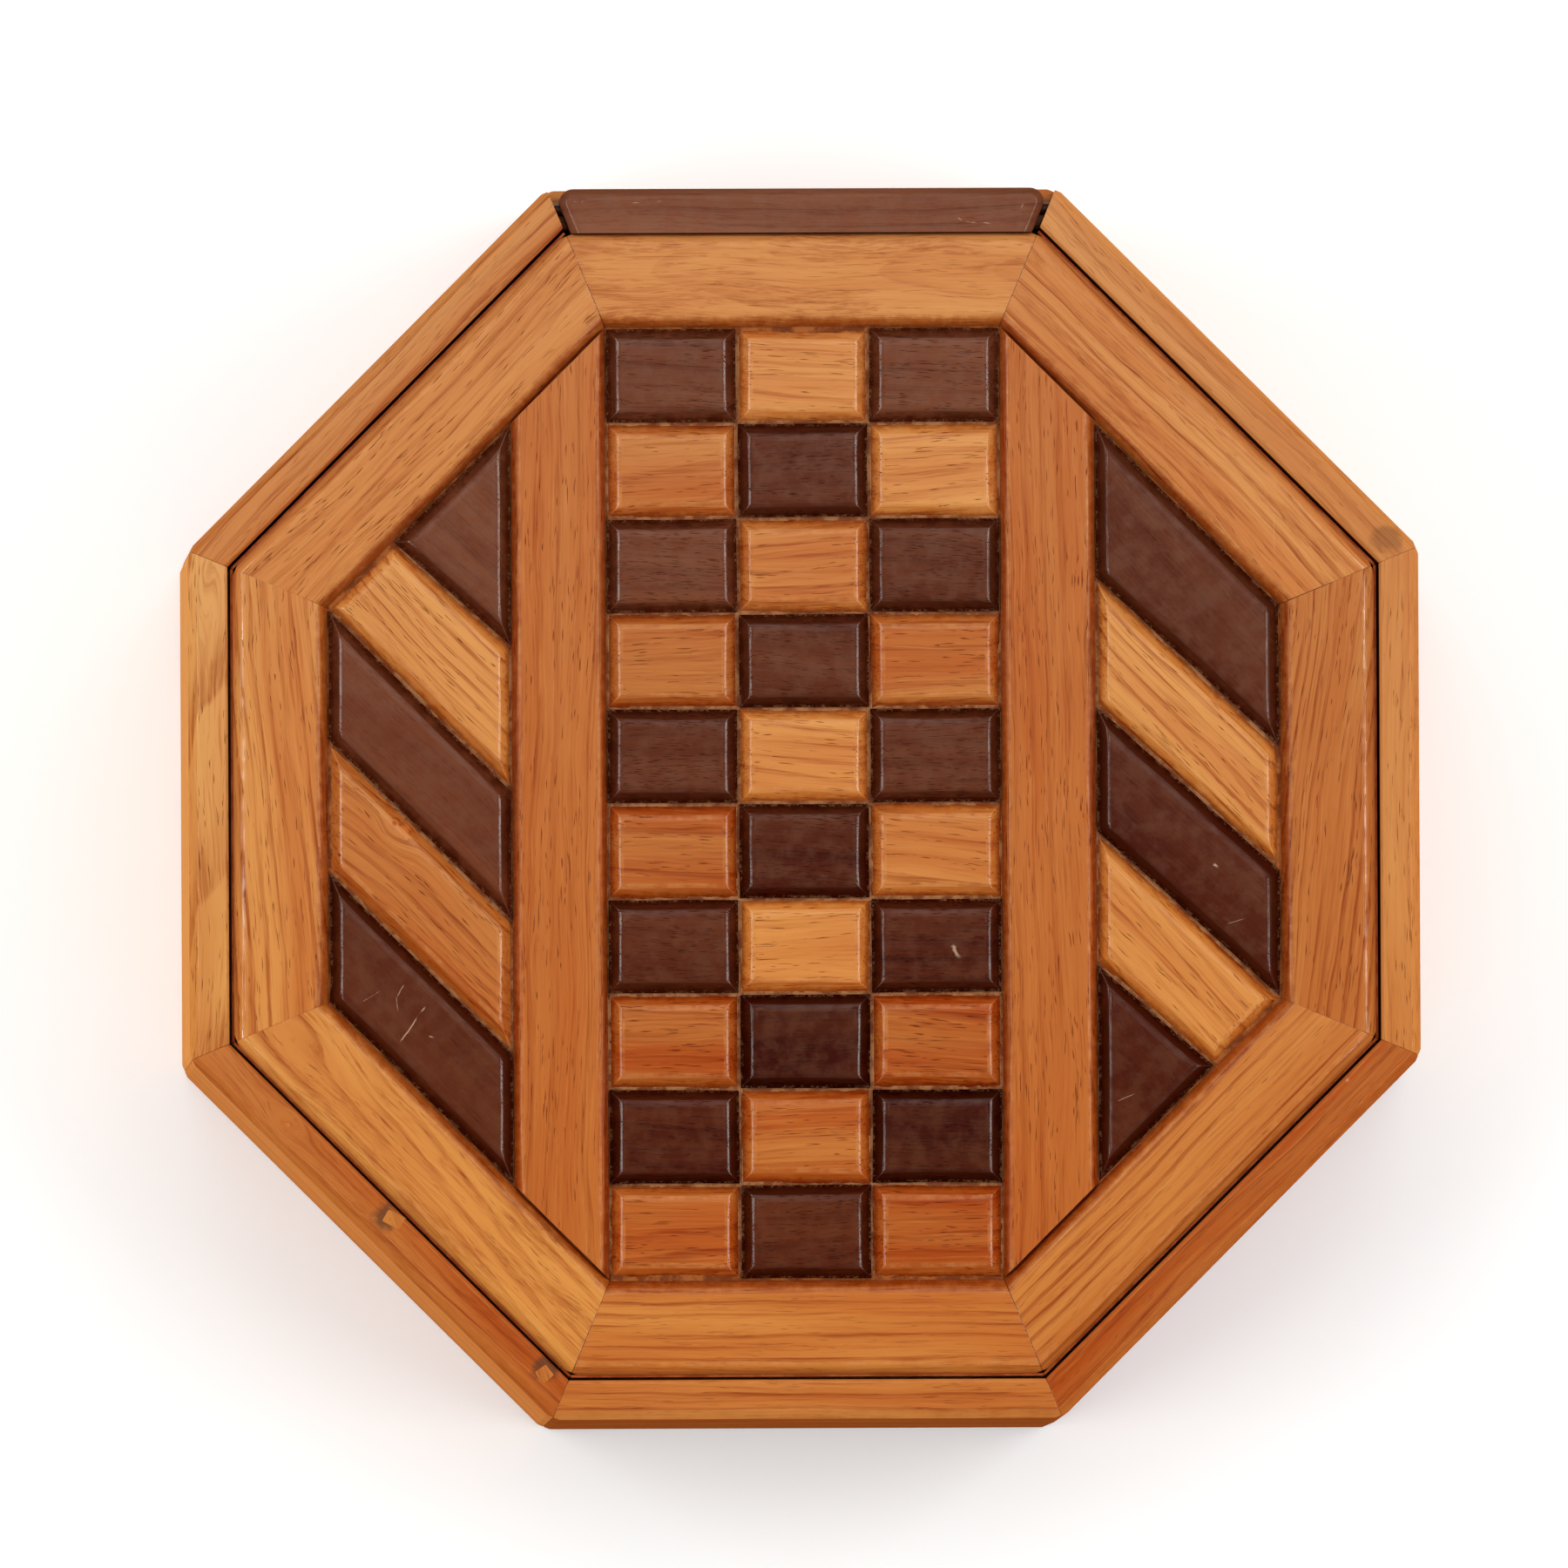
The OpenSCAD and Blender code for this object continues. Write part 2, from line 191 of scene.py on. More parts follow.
class Graph:
    """Node tree of a material or the world, emptied of its default nodes."""

    def __init__(self, owner: Union[bpy.types.Material, bpy.types.World]) -> None:
        """Start an empty tree.

        Args:
            owner: The material or the world that it belongs to.
        """
        owner.use_nodes = True
        self.tree = owner.node_tree
        self.tree.nodes.clear()

    @staticmethod
    def _socket(sockets: Iterable[bpy.types.NodeSocket], key: Union[str, int]) -> Any:
        """Find a socket.

        Args:
            sockets: The sockets of one side of a node.
            key: Number, identifier or name of the one that is wanted.

        Returns:
            The socket.
        """
        found = list(sockets)
        if isinstance(key, int):
            return found[key]
        for name in ("identifier", "name"):
            for socket in found:
                if getattr(socket, name) == key:
                    return socket
        raise KeyError(key)

    def add(self, kind: str, settings: dict[str, Any] | None = None,
            sockets: dict[Union[str, int], Any] | None = None,
            output: Union[str, int, None] = 0) -> Wire | None:
        """Add a node of any type.

        Args:
            kind: Blender's name for the node type.
            settings: Properties of the node, set before its sockets.
            sockets: Values or wires of its input sockets.
            output: The output socket to return. None for a node without outputs.

        Returns:
            The wire from the chosen output.
        """
        node = self.tree.nodes.new(kind)
        for name, value in (settings or {}).items():
            setattr(node, name, value)
        for key, value in (sockets or {}).items():
            socket = self._socket(node.inputs, key)
            if isinstance(value, Wire):
                self.tree.links.new(value.socket, socket)
            elif socket.type == "RGBA":
                socket.default_value = (*value, 1.0)
            else:
                socket.default_value = value
        return None if output is None else Wire(self, self._socket(node.outputs, output))

    def math(self, operation: str, *values: Value) -> Wire:
        """Math node on one to three values."""
        return self.add("ShaderNodeMath", {"operation": operation}, dict(enumerate(values)))

    def vector(self, operation: str, first: Triple, second: Triple) -> Wire:
        """Vector Math node on two vectors."""
        return self.add("ShaderNodeVectorMath", {"operation": operation}, {0: first, 1: second})

    def joined(self, x: Value, y: Value, z: Value) -> Wire:
        """Vector made of three values."""
        return self.add("ShaderNodeCombineXYZ", None, {"X": x, "Y": y, "Z": z})

    def blend(self, share: Value, first: Union[Colour, Wire], second: Union[Colour, Wire],
              mode: str = "MIX") -> Wire:
        """Blend two colours.

        Args:
            share: How much of the second colour shows, 0 to 1.
            first: Colour under it.
            second: Colour over it.
            mode: Blend mode of the Mix node.

        Returns:
            The blended colour.
        """
        return self.add(
            "ShaderNodeMix",
            {"data_type": "RGBA", "blend_type": mode, "clamp_factor": True},
            {"Factor_Float": share, "A_Color": first, "B_Color": second},
            "Result_Color",
        )

    def noise(self, place: Wire, detail: float = 2.0, roughness: float = 0.5) -> Wire:
        """Smooth noise with one wave per unit of the place.

        Args:
            place: Where it is read.
            detail: Finer waves on the first one.
            roughness: Strength of each finer wave against the last.

        Returns:
            The noise, about 0 to 1.
        """
        return self.add(
            "ShaderNodeTexNoise", {"noise_dimensions": "3D"},
            {"Vector": place, "Scale": 1.0, "Detail": detail, "Roughness": roughness},
        )

    def place(self) -> Wire:
        """Place on the piece, mm."""
        return self.add("ShaderNodeTexCoord", None, None, "Object").stretched([1 / MM] * 3)

    def tinted(self, share: Value, colour: Wire, tint: Colour) -> Wire:
        """Colour multiplied by a tint, as far as the share goes."""
        return self.blend(share, colour, tint, "MULTIPLY")

    def bump(self, height: Wire, strength: float = 1.0) -> Wire:
        """Normal of a face with a fine relief, whose height is in mm."""
        return self.add("ShaderNodeBump", None,
                        {"Strength": strength, "Distance": MM, "Height": height})

    def surface(self, constants: dict[str, Any], polish: Wire | None = None,
                **varying: Wire) -> None:
        """Finish the tree with a Principled shader.

        Args:
            constants: Values set on the shader's own sockets.
            polish: Share of it where the rest is the same shader without gloss. None for all of it.
            **varying: Wires for its sockets, with _ for the blanks in their names.
        """
        sockets = dict(constants)
        sockets.update({name.replace("_", " "): wire for name, wire in varying.items()})
        shader = self.add("ShaderNodeBsdfPrincipled", None, sockets)
        if polish is not None:
            sockets.update({"Specular IOR Level": 0.0, "Roughness": 1.0})
            sockets.pop("Coat Weight", None)
            dull = self.add("ShaderNodeBsdfPrincipled", None, sockets)
            shader = self.add("ShaderNodeMixShader", None, {0: polish, 1: dull, 2: shader})
        self.add("ShaderNodeOutputMaterial", None, {"Surface": shader}, None)


# --------------------------------------------------------------------------------------------
# Finishes
# --------------------------------------------------------------------------------------------

@dataclass(frozen=True)
class Knot:
    """Place where the rings swerve round a small knot.

    Attributes:
        place: Centre seen from above, mm.
        reach: How far along and across the grain the swerve is felt, mm.
        push: How far the rings are pushed aside, mm.
        core: Radius of the dark heart, mm. None shows at 0.
    """

    place: Point
    reach: Point = (7.0, 3.5)
    push: float = 3.0
    core: float = 0.0


@dataclass(frozen=True)
class Mark:
    """Scratch or rubbed spot on a polished face.

    Attributes:
        start: One end seen from above, mm.
        end: Other end, mm.
        width: Half width, mm.
        strength: How pale it shows, 0 to 1.
    """

    start: Point
    end: Point
    width: float = 0.12
    strength: float = 0.8


@dataclass(frozen=True)
class Stain:
    """Dark smudge, with its place seen from above and its reach, mm, and its strength."""

    place: Point
    reach: float = 2.6
    share: float = 0.75


@dataclass(frozen=True)
class Board:
    """How one piece was sawn from its plank, and what has happened to it since.

    Attributes:
        grain: Direction of the grain seen from above, degrees.
        seed: Place in the plank, any number.
        red: 0 is straw yellow, 1 is red orange.
        deep: 0 is pale, 1 is a good deal darker.
        year: Distance between the growth rings, mm.
        figure: Strength of the ring lines.
        pith: How far the heart of the tree lies aside of and below the middle of the piece, mm.
        tilt: Rise of the heart along the grain, mm per mm.
        wander: How far the rings stray, mm.
        twin: Redness and depth of the second tile of the same row, where there is one.
        swing: How far its slow bands swing to both sides of its redness.
        pores: How clearly its pores show, 0 to 1.
        rim: Height where the bevel ends at the joint all round, mm. None for no such joint.
        joints: Straight joints beside it instead, each as the direction, degrees, and the
            distance, mm, of a line seen from the middle of the box.
        band: Reach of the soiled band over the rim or beside the joints, mm.
        knots: Knots in the face.
        marks: Scratches.
        stains: Dark smudges.
        upright_shade: Painted shade on its upright faces, how much darker they are; under 0 it is
            painted light, how much paler they are.
        waxed: How brightly its bevels and their arrises shine.
        slope: How far its slopes take the painted shade of slopes, which also holds some of their
            soil colour.
        slope_highlight: Strength of the painted highlight that pales its slopes.
        feather: Strength of its feathery brown patches.
        mitres: Directions that the mitre planes at its ends face, degrees.
    """

    grain: float
    seed: float
    red: float = 0.5
    deep: float = 0.0
    year: float = 2.4
    figure: float = 0.6
    pith: Point = (30.0, 14.0)
    tilt: float = 0.0
    wander: float = 1.6
    twin: Point | None = None
    swing: float = 0.18
    pores: float = 1.0
    rim: float | None = None
    joints: tuple[Point, ...] = ()
    band: float = 0.7
    knots: tuple[Knot, ...] = ()
    marks: tuple[Mark, ...] = ()
    stains: tuple[Stain, ...] = ()
    upright_shade: float = 0.0
    waxed: float = 0.0
    slope: float = 1.0
    slope_highlight: float = 0.0
    feather: float = 0.0
    mitres: tuple[float, ...] = ()


@dataclass(frozen=True)
class WoodFinish:
    """Oiled and waxed wood of one kind.

    Attributes:
        straw: Colour of its palest boards.
        ember: Colour of its reddest boards.
        line_tint: What the late wood lines multiply the body colour by.
        pore_tint: What an open pore multiplies it by.
        slope_shade_tint: What a slope between face and joint multiplies it by: painted shade of
            slopes that tilt away from the light, partly also the soil colour there.
        wear_and_highlight: Colour of a rubbed arris.
        gloss: Roughness of the polished face.
        shine: Specular level of the polished face.
        rub: How far an arris is rubbed pale.
        oiled: What the front of the box multiplies the colour by: painted shade, darker and redder
            towards the front, away from the key light and its reflection at the back.
        pore_size: Length and width of a pore's cell, mm.
        pore_share: Share of the cells that hold an open pore.
        fibre: Strength of the fine streaks.
        relief: Strength of the bump.
        film: How far a thin patchy film of old wax greys the faces.
    """

    straw: Colour
    ember: Colour
    line_tint: Colour
    pore_tint: Colour
    slope_shade_tint: Colour
    wear_and_highlight: Colour
    gloss: float = 0.12
    shine: float = 0.14
    rub: float = 0.2
    oiled: Colour = (1.0, 0.86, 0.57)
    pore_size: Point = (2.4, 0.26)
    pore_share: float = 0.20
    fibre: float = 0.55
    relief: float = 1.0
    film: float = 0.0

    SOIL_TINT = (0.50, 0.27, 0.13)
    HEART = linear(204, 110, 54)
    SOIL_WAX = linear(158, 116, 82)
    SCRATCH = linear(205, 168, 140)
    SMUDGE = linear(78, 52, 34)
    SEAM = (0.20, 0.12, 0.08)
    # tint of the painted shade on upright faces
    UPRIGHT_SHADE_TINT = (0.50, 0.25, 0.17)
    SEED_STEP = 17.3  # mm in the plank from one seed to the next
    SEED_WAY = (1.0, 0.37, 0.71)
    TWIN_SHIFT = (46.0, 0.31)  # mm along the plank to a second tile, and its share across
    FACE_LEVEL = 64.0  # height of the faces, mm
    FRONT_SHADE_REACH = 95.0  # mm from the middle to where the painted front shade is least and most
    JOINT_SIDE = 4.0  # mm from a joint to the end of its slope
    OPEN_SIDE = 6.0  # mm from a joint to the open face
    COAT_ROUGHNESS = 0.14

    def material(self, name: str, board: Board, middle: Vector) -> bpy.types.Material:
        """Build the material of one piece.

        Args:
            name: Name of the material.
            board: How the piece was sawn.
            middle: Middle of the piece, m.

        Returns:
            The material.
        """
        material = bpy.data.materials.new(name)
        graph = Graph(material)
        place = graph.place()
        x, y, _ = place.parts()
        second = x.above(0.0) if board.twin else None
        along, across, up = self._grain_place(graph, place, board, second)
        year, line, bent = self._rings(graph, along, across, up, board, middle)
        streaks = graph.noise(bent.stretched((0.07, 2.6, 2.6)), 3.0, 0.6)
        pores = self._pores(graph, bent, year, streaks) * board.pores
        facing = graph.add("ShaderNodeTexCoord", None, None, "Normal").parts()[2]
        mottle = graph.noise(place.stretched([0.35] * 3), 3.0, 0.6)

        colour = self._body(graph, board, second, bent)
        colour = self._figure(graph, board, colour, bent, line, streaks)
        colour = graph.tinted(pores, colour, self.pore_tint)
        if self.film:
            colour = graph.blend(mottle.rise(0.36, 0.68) * self.film, colour, self.wear_and_highlight)
        rough = self.gloss + streaks * 0.06 + pores * 0.25 + (mottle - 0.5) * 0.08
        height = (graph.noise(place.stretched([0.22] * 3), 1.0) * 0.05
                  + streaks * -0.010 - pores * 0.035 + line * -0.006)
        # painted shade: the colour darkens and reddens towards the front, away from the light at
        # the back
        colour = graph.tinted(y.rise(self.FRONT_SHADE_REACH, -self.FRONT_SHADE_REACH), colour, self.oiled)

        far = self._joint_gap(board, x, y)
        colour = self._edges(graph, board, colour, facing, mottle, far)
        colour, far = self._hearts(graph, board, colour, x, y, streaks, far)
        if board.joints or board.rim is not None:
            colour, rough = self._soil(graph, board, colour, rough, place, facing, far)
        colour = self._smudges(graph, board, colour, x, y, mottle)
        for mark in board.marks:
            scratch = self._scratch(x, y, mark, mottle) * facing.rise(0.9, 0.97)
            colour = graph.blend(scratch * mark.strength, colour, self.SCRATCH)
            rough = rough + scratch * 0.3
            height = height - scratch * 0.02

        varying = {"Base_Color": colour, "Roughness": rough,
                   "Normal": graph.bump(height, self.relief)}
        constants = {"Specular IOR Level": self.shine}
        if board.waxed:
            arris = facing.rise(0.985, 0.955) * facing.rise(0.85, 0.90)
            if far is not None:
                arris = arris * far.rise(self.JOINT_SIDE, self.OPEN_SIDE)
            varying["Coat_Weight"] = arris * mottle.rise(0.38, 0.62) * board.waxed
            constants["Coat Roughness"] = self.COAT_ROUGHNESS
        polish = facing.rise(0.82, 0.92) * (1 - pores * 0.7)
        graph.surface(constants, polish, **varying)
        return material

    def _grain_place(self, graph: Graph, place: Wire, board: Board,
                     second: Wire | None) -> tuple[Wire, Wire, Wire]:
        """Find the place in the plank.

        Args:
            graph: Tree of the material.
            place: Place on the piece, mm.
            board: How the piece was sawn.
            second: One on the second tile of a row, where there is one.

        Returns:
            Place along and across the grain, and up, mm.
        """
        turned = graph.add(
            "ShaderNodeVectorRotate", {"rotation_type": "Z_AXIS"},
            {"Vector": place, "Angle": -math.radians(board.grain)},
        )
        if second is not None:
            shift, across = self.TWIN_SHIFT
            aside = second * shift
            turned = turned.shifted(graph.joined(aside, aside * across, 0.0))
        return turned.parts()

    def _rings(self, graph: Graph, along: Wire, across: Wire, up: Wire, board: Board,
               middle: Vector) -> tuple[Wire, Wire, Wire]:
        """Lay the growth rings.

        Args:
            graph: Tree of the material.
            along: Place along the grain, mm.
            across: Place across it, mm.
            up: Height, mm.
            board: How the piece was sawn.
            middle: Middle of the piece, m.

        Returns:
            Place within the year, strength of its dark line, and place along the bent grain.
        """
        seed = board.seed * self.SEED_STEP
        offset = tuple(seed * part for part in self.SEED_WAY)
        plank = graph.joined(along, across, up).shifted(offset)
        slow = graph.noise(plank.stretched((0.020, 0.07, 0.07)), 1.0) - 0.5
        quick = graph.noise(plank.stretched((0.075, 0.42, 0.42)), 2.0) - 0.5
        drift = slow * (board.wander * 3.2) + quick * (0.45 + board.wander * 0.32)
        turn = math.radians(board.grain)

        def in_plank(x: float, y: float) -> Point:
            """Place along and across the grain of a point seen from above."""
            return x * math.cos(turn) + y * math.sin(turn), y * math.cos(turn) - x * math.sin(turn)

        for knot in board.knots:
            knot_along, knot_across = in_plank(*knot.place)
            ahead = ((along - knot_along) / knot.reach[0]) ** 2.0
            aside = (across - knot_across) / knot.reach[1]
            felt = graph.math("EXPONENT", (ahead + aside * aside) * -1.0)
            drift = drift + felt * aside * -knot.push
        bent_across = across + drift
        middle_along, middle_across = in_plank(middle.x / MM, middle.y / MM)
        deep = (up - self.FACE_LEVEL) * 0.8 + (along - middle_along) * board.tilt + board.pith[1]
        side = bent_across - middle_across + board.pith[0]
        radius = graph.math("SQRT", side * side + deep * deep)
        turns = radius / board.year + seed
        year = turns.fraction()
        strength = graph.noise(graph.joined(along * 0.018, turns.whole() * 3.7, seed), 1.0)
        line = year.rise(0.50, 0.90) * year.rise(1.0, 0.95) * strength.rise(0.24, 0.60)
        bent = graph.joined(along, bent_across, up).shifted(offset)
        return year, line, bent

    def _pores(self, graph: Graph, bent: Wire, year: Wire, streaks: Wire) -> Wire:
        """Strew short open pores along the grain, more of them early in the year.

        Args:
            graph: Tree of the material.
            bent: Place along the bent grain, mm.
            year: Place within the year, 0 to 1.
            streaks: Fine streaks, about 0 to 1.

        Returns:
            One in a pore, else zero.
        """
        length, width = self.pore_size
        strewn = bent.shifted(graph.joined(streaks * (6 * length), 0.0, 0.0))
        cells = {"Vector": strewn.stretched((1 / length, 1 / width, 1 / width)),
                 "Scale": 1.0, "Randomness": 1.0}
        cell = graph.add("ShaderNodeTexVoronoi", {"feature": "F1"}, cells)
        pick = Wire(graph, cell.socket.node.outputs["Color"]).parts()[0]
        flocks = graph.noise(bent.stretched((0.06, 0.5, 0.5)), 1.0).rise(0.36, 0.62)
        share = (year.rise(1.0, 0.0) * 0.5 + 0.5) * (flocks * 1.3 + 0.25)
        chosen = (share * self.pore_share).above(pick)
        return cell.rise(0.46, 0.24) * chosen

    def _body(self, graph: Graph, board: Board, second: Wire | None, bent: Wire) -> Wire:
        """Colour the board under its lines, with slow bands along the grain.

        Args:
            graph: Tree of the material.
            board: How the piece was sawn.
            second: One on the second tile of a row, where there is one.
            bent: Place along the bent grain, mm.

        Returns:
            The colour.
        """
        bands = graph.noise(bent.stretched((0.012, 0.16, 0.16)), 2.0)

        def banded(red: float, deep: float) -> Wire:
            """Swing the body colour to both sides of a redness.

            Args:
                red: The redness, 0 to 1.
                deep: The darkness, 0 to 1.

            Returns:
                The colour.
            """
            tones = [scaled(between(self.straw, self.ember, red + swing), 0.88 - 0.34 * deep)
                     for swing in (-board.swing, board.swing)]
            return graph.blend(bands.rise(0.32, 0.68), *tones)

        colour = banded(board.red, board.deep)
        if second is not None:
            colour = graph.blend(second, colour, banded(*board.twin))
        return colour

    def _figure(self, graph: Graph, board: Board, colour: Wire, bent: Wire, line: Wire,
                streaks: Wire) -> Wire:
        """Draw the year lines, the fine streaks and vessels, and the feathery patches.

        Args:
            graph: Tree of the material.
            board: How the piece was sawn.
            colour: Colour under the lines.
            bent: Place along the bent grain, mm.
            line: Strength of the year line.
            streaks: Fine streaks, about 0 to 1.

        Returns:
            The colour with its lines.
        """
        broken = streaks.rise(0.30, 0.62) * 0.75 + 0.25
        colour = graph.tinted(line * broken * board.figure, colour, self.line_tint)
        colour = graph.tinted(streaks.rise(0.50, 0.74) * self.fibre, colour, self.line_tint)
        colour = graph.blend(streaks.rise(0.46, 0.26) * (self.fibre * 0.3), colour, self.wear_and_highlight)
        vessels = graph.noise(bent.stretched((0.22, 4.6, 4.6)), 2.0, 0.55)
        vessel = vessels.rise(0.58, 0.70) * (line * 0.6 + 0.4)
        colour = graph.tinted(vessel * self.fibre * 0.8, colour, self.line_tint)
        if board.feather:
            patches = graph.noise(bent.stretched((0.055, 0.36, 0.36)), 2.0).rise(0.50, 0.62)
            barbs = graph.noise(bent.stretched((0.30, 3.0, 3.0)), 2.0, 0.6).rise(0.40, 0.62)
            share = patches * (barbs * 0.8 + 0.2) * board.feather
            colour = graph.tinted(share, colour, self.line_tint)
        return colour

    @staticmethod
    def _off_line(x: Wire, y: Wire, direction: float, distance: float) -> Wire:
        """Distance from an upright plane that faces a direction, degrees, mm."""
        turn = math.radians(direction)
        return abs(x * math.cos(turn) + y * math.sin(turn) - distance)

    def _joint_gap(self, board: Board, x: Wire, y: Wire) -> Wire | None:
        """Measure the way to the nearest of the straight joints.

        Args:
            board: How the piece was sawn.
            x: Place to the right, mm.
            y: Place to the back, mm.

        Returns:
            The distance, mm. None where there is no such joint.
        """
        far = None
        for joint in board.joints:
            gap = self._off_line(x, y, *joint)
            far = gap if far is None else far.least(gap)
        return far

    def _edges(self, graph: Graph, board: Board, colour: Wire, facing: Wire, mottle: Wire,
               far: Wire | None) -> Wire:
        """Paint shade and highlight on the slopes, a rubbed line on the arrises, and shade or light
        on the upright faces.

        Args:
            graph: Tree of the material.
            board: How the piece was sawn.
            colour: Colour of the face.
            facing: How far the surface faces up, 1 for level.
            mottle: Soft unevenness, about 0 to 1.
            far: Distance from the nearest straight joint, mm, where there is one.

        Returns:
            The colour.
        """
        uneven = mottle.rise(0.3, 0.65) * 0.5 + 0.5
        slope = facing.rise(0.985, 0.83) * facing.rise(0.25, 0.5) * uneven
        share = slope * board.slope
        if far is not None:
            beside = far.rise(self.OPEN_SIDE, self.JOINT_SIDE)
            share = slope * (beside * (1.0 - board.slope) + board.slope)
        # painted shade on the slopes, partly also the darker soil colour there
        colour = graph.tinted(share, colour, self.slope_shade_tint)
        # painted highlight on the slopes
        if board.slope_highlight:
            colour = graph.blend(slope * board.slope_highlight, colour, self.wear_and_highlight)
        arris = facing.rise(0.998, 0.975) * facing.rise(0.86, 0.92)
        colour = graph.blend(arris * mottle.rise(0.35, 0.65) * self.rub, colour, self.wear_and_highlight)
        # painted shade darkens the upright faces; under 0, painted light pales them
        upright = facing.rise(0.35, 0.1)
        if board.upright_shade > 0:
            return graph.tinted(upright * board.upright_shade, colour, self.UPRIGHT_SHADE_TINT)
        if board.upright_shade < 0:
            return graph.blend(upright * -board.upright_shade, colour, self.wear_and_highlight)
        return colour

    def _hearts(self, graph: Graph, board: Board, colour: Wire, x: Wire, y: Wire, streaks: Wire,
                far: Wire | None) -> tuple[Wire, Wire | None]:
        """Draw the dark hearts of the knots.

        Args:
            graph: Tree of the material.
            board: How the piece was sawn.
            colour: Colour of the face.
            x: Place to the right, mm.
            y: Place to the back, mm.
            streaks: Fine streaks, about 0 to 1.
            far: Distance from the nearest straight joint, mm, where there is one.

        Returns:
            The colour, and the distance that soil and gloss go by: that from the last heart
            where there is one, and else the one that was given.
        """
        for knot in board.knots:
            if knot.core:
                far = self._near(graph, x, y, knot.place) / knot.core + (streaks - 0.5) * 1.4
                colour = graph.blend(far.rise(1.0, 0.3) * 0.55, colour, self.HEART)
                ring = far.rise(0.8, 1.05) * far.rise(1.5, 1.15) * streaks.rise(0.4, 0.6)
                colour = graph.tinted(ring * 0.5, colour, self.line_tint)
        return colour, far

    def _soil(self, graph: Graph, board: Board, colour: Wire, rough: Wire, place: Wire,
              facing: Wire, far: Wire | None) -> tuple[Wire, Wire]:
        """Lay old wax and dust low on the slopes.

        Args:
            graph: Tree of the material.
            board: How the piece was sawn.
            colour: Colour of the face.
            rough: Roughness of the face.
            place: Place on the piece, mm.
            facing: How far the surface faces up, 1 for level.
            far: Distance that the band is measured by, mm. None for the height over the rim.

        Returns:
            The colour and the roughness.
        """
        patch = graph.noise(place.stretched([0.55] * 3), 4.0, 0.65)
        grit = graph.noise(place.stretched([2.4] * 3), 2.0, 0.6)
        if far is None:
            far = place.parts()[2] - board.rim
        level = far / board.band + (patch - 0.5) * 1.3
        low = level.rise(1.1, 0.1) * (facing.rise(0.995, 0.95) * 0.7 + 0.3)
        colour = graph.tinted(low * 0.85, colour, self.SOIL_TINT)
        wax = level.rise(0.5, 0.0) * (patch * 0.6 + grit * 0.4).rise(0.49, 0.60)
        colour = graph.blend(wax * 0.32, colour, self.SOIL_WAX)
        return colour, rough + low * 0.2

    def _smudges(self, graph: Graph, board: Board, colour: Wire, x: Wire, y: Wire,
                 mottle: Wire) -> Wire:
        """Draw the fine seams at the mitres and the dark smudges.

        Args:
            graph: Tree of the material.
            board: How the piece was sawn.
            colour: Colour of the face.
            x: Place to the right, mm.
            y: Place to the back, mm.
            mottle: Soft unevenness, about 0 to 1.

        Returns:
            The colour.
        """
        for direction in board.mitres:
            off = self._off_line(x, y, direction, 0.0) + (mottle - 0.5) * 0.16
            seam = off.rise(0.18, 0.05) * mottle.rise(0.3, 0.55) * 0.7
            colour = graph.tinted(seam, colour, self.SEAM)
        for stain in board.stains:
            spot = self._near(graph, x, y, stain.place) + (mottle - 0.5) * stain.reach * 1.4
            share = spot.rise(stain.reach, stain.reach * 0.45)
            colour = graph.blend(share * stain.share, colour, self.SMUDGE)
        return colour

    @staticmethod
    def _near(graph: Graph, x: Wire, y: Wire, place: Point) -> Wire:
        """Distance from an upright line through a place, mm."""
        side, ahead = x - place[0], y - place[1]
        return graph.math("SQRT", side * side + ahead * ahead)

    @staticmethod
    def _scratch(x: Wire, y: Wire, mark: Mark, mottle: Wire) -> Wire:
        """Draw one scratch.

        Args:
            x: Place to the right, mm.
            y: Place to the back, mm.
            mark: The scratch.
            mottle: Soft unevenness, about 0 to 1.

        Returns:
            One along the scratch and zero beside it.
        """
        run = (mark.end[0] - mark.start[0], mark.end[1] - mark.start[1])
        length = math.hypot(*run)
        east, north = run[0] / length, run[1] / length
        side, ahead = x - mark.start[0], y - mark.start[1]
        way = side * east + ahead * north
        off = abs(side * north - ahead * east + (mottle - 0.5) * mark.width * 4)
        inside = way.rise(-0.2, 0.4) * way.rise(length + 0.2, length - 0.8)
        return off.rise(mark.width, mark.width * 0.3) * inside * mottle.rise(0.3, 0.5)


@dataclass(frozen=True)
class WaxFinish:
    """Brown wax and house dust that has settled in the joints, and the orange bead of painted
    bounce light in the gap round the lid.

    Attributes:
        dark: Colour of the thick wax.
        tan: Colour of the dusty wax.
    """

    dark: Colour
    tan: Colour

    def material(self, name: str) -> bpy.types.Material:
        """Build the wax material.

        Args:
            name: Name of the material.

        Returns:
            The material.
        """
        material = bpy.data.materials.new(name)
        graph = Graph(material)
        place = graph.place()
        patch = graph.noise(place.stretched([0.32] * 3), 4.0, 0.62)
        grit = graph.noise(place.stretched([2.6] * 3), 3.0, 0.65)
        tone = (patch * 0.85 + grit * 0.15).rise(0.42, 0.60)
        colour = graph.blend(tone, self.dark, self.tan)
        graph.surface({"Specular IOR Level": 0.12}, Base_Color=colour,
                      Roughness=0.5 + grit * 0.3, Normal=graph.bump(grit * 0.08 + patch * 0.1))
        return material


@dataclass(frozen=True)
class SteelFinish:
    """Drawn steel rod.

    Attributes:
        steel: Its colour.
    """

    steel: Colour

    def material(self, name: str) -> bpy.types.Material:
        """Build the steel material, with fine lines along the rod.

        Args:
            name: Name of the material.

        Returns:
            The material.
        """
        material = bpy.data.materials.new(name)
        graph = Graph(material)
        place = graph.place()
        drawn = graph.noise(place.stretched((0.3, 14.0, 14.0)), 3.0)
        bloom = graph.noise(place.stretched([1.1] * 3), 2.0)
        colour = graph.blend(bloom.rise(0.45, 0.7), self.steel, scaled(self.steel, 0.6))
        graph.surface({"Metallic": 1.0}, Base_Color=colour,
                      Roughness=0.28 + drawn * 0.2, Normal=graph.bump(drawn * 0.01, 0.6))
        return material


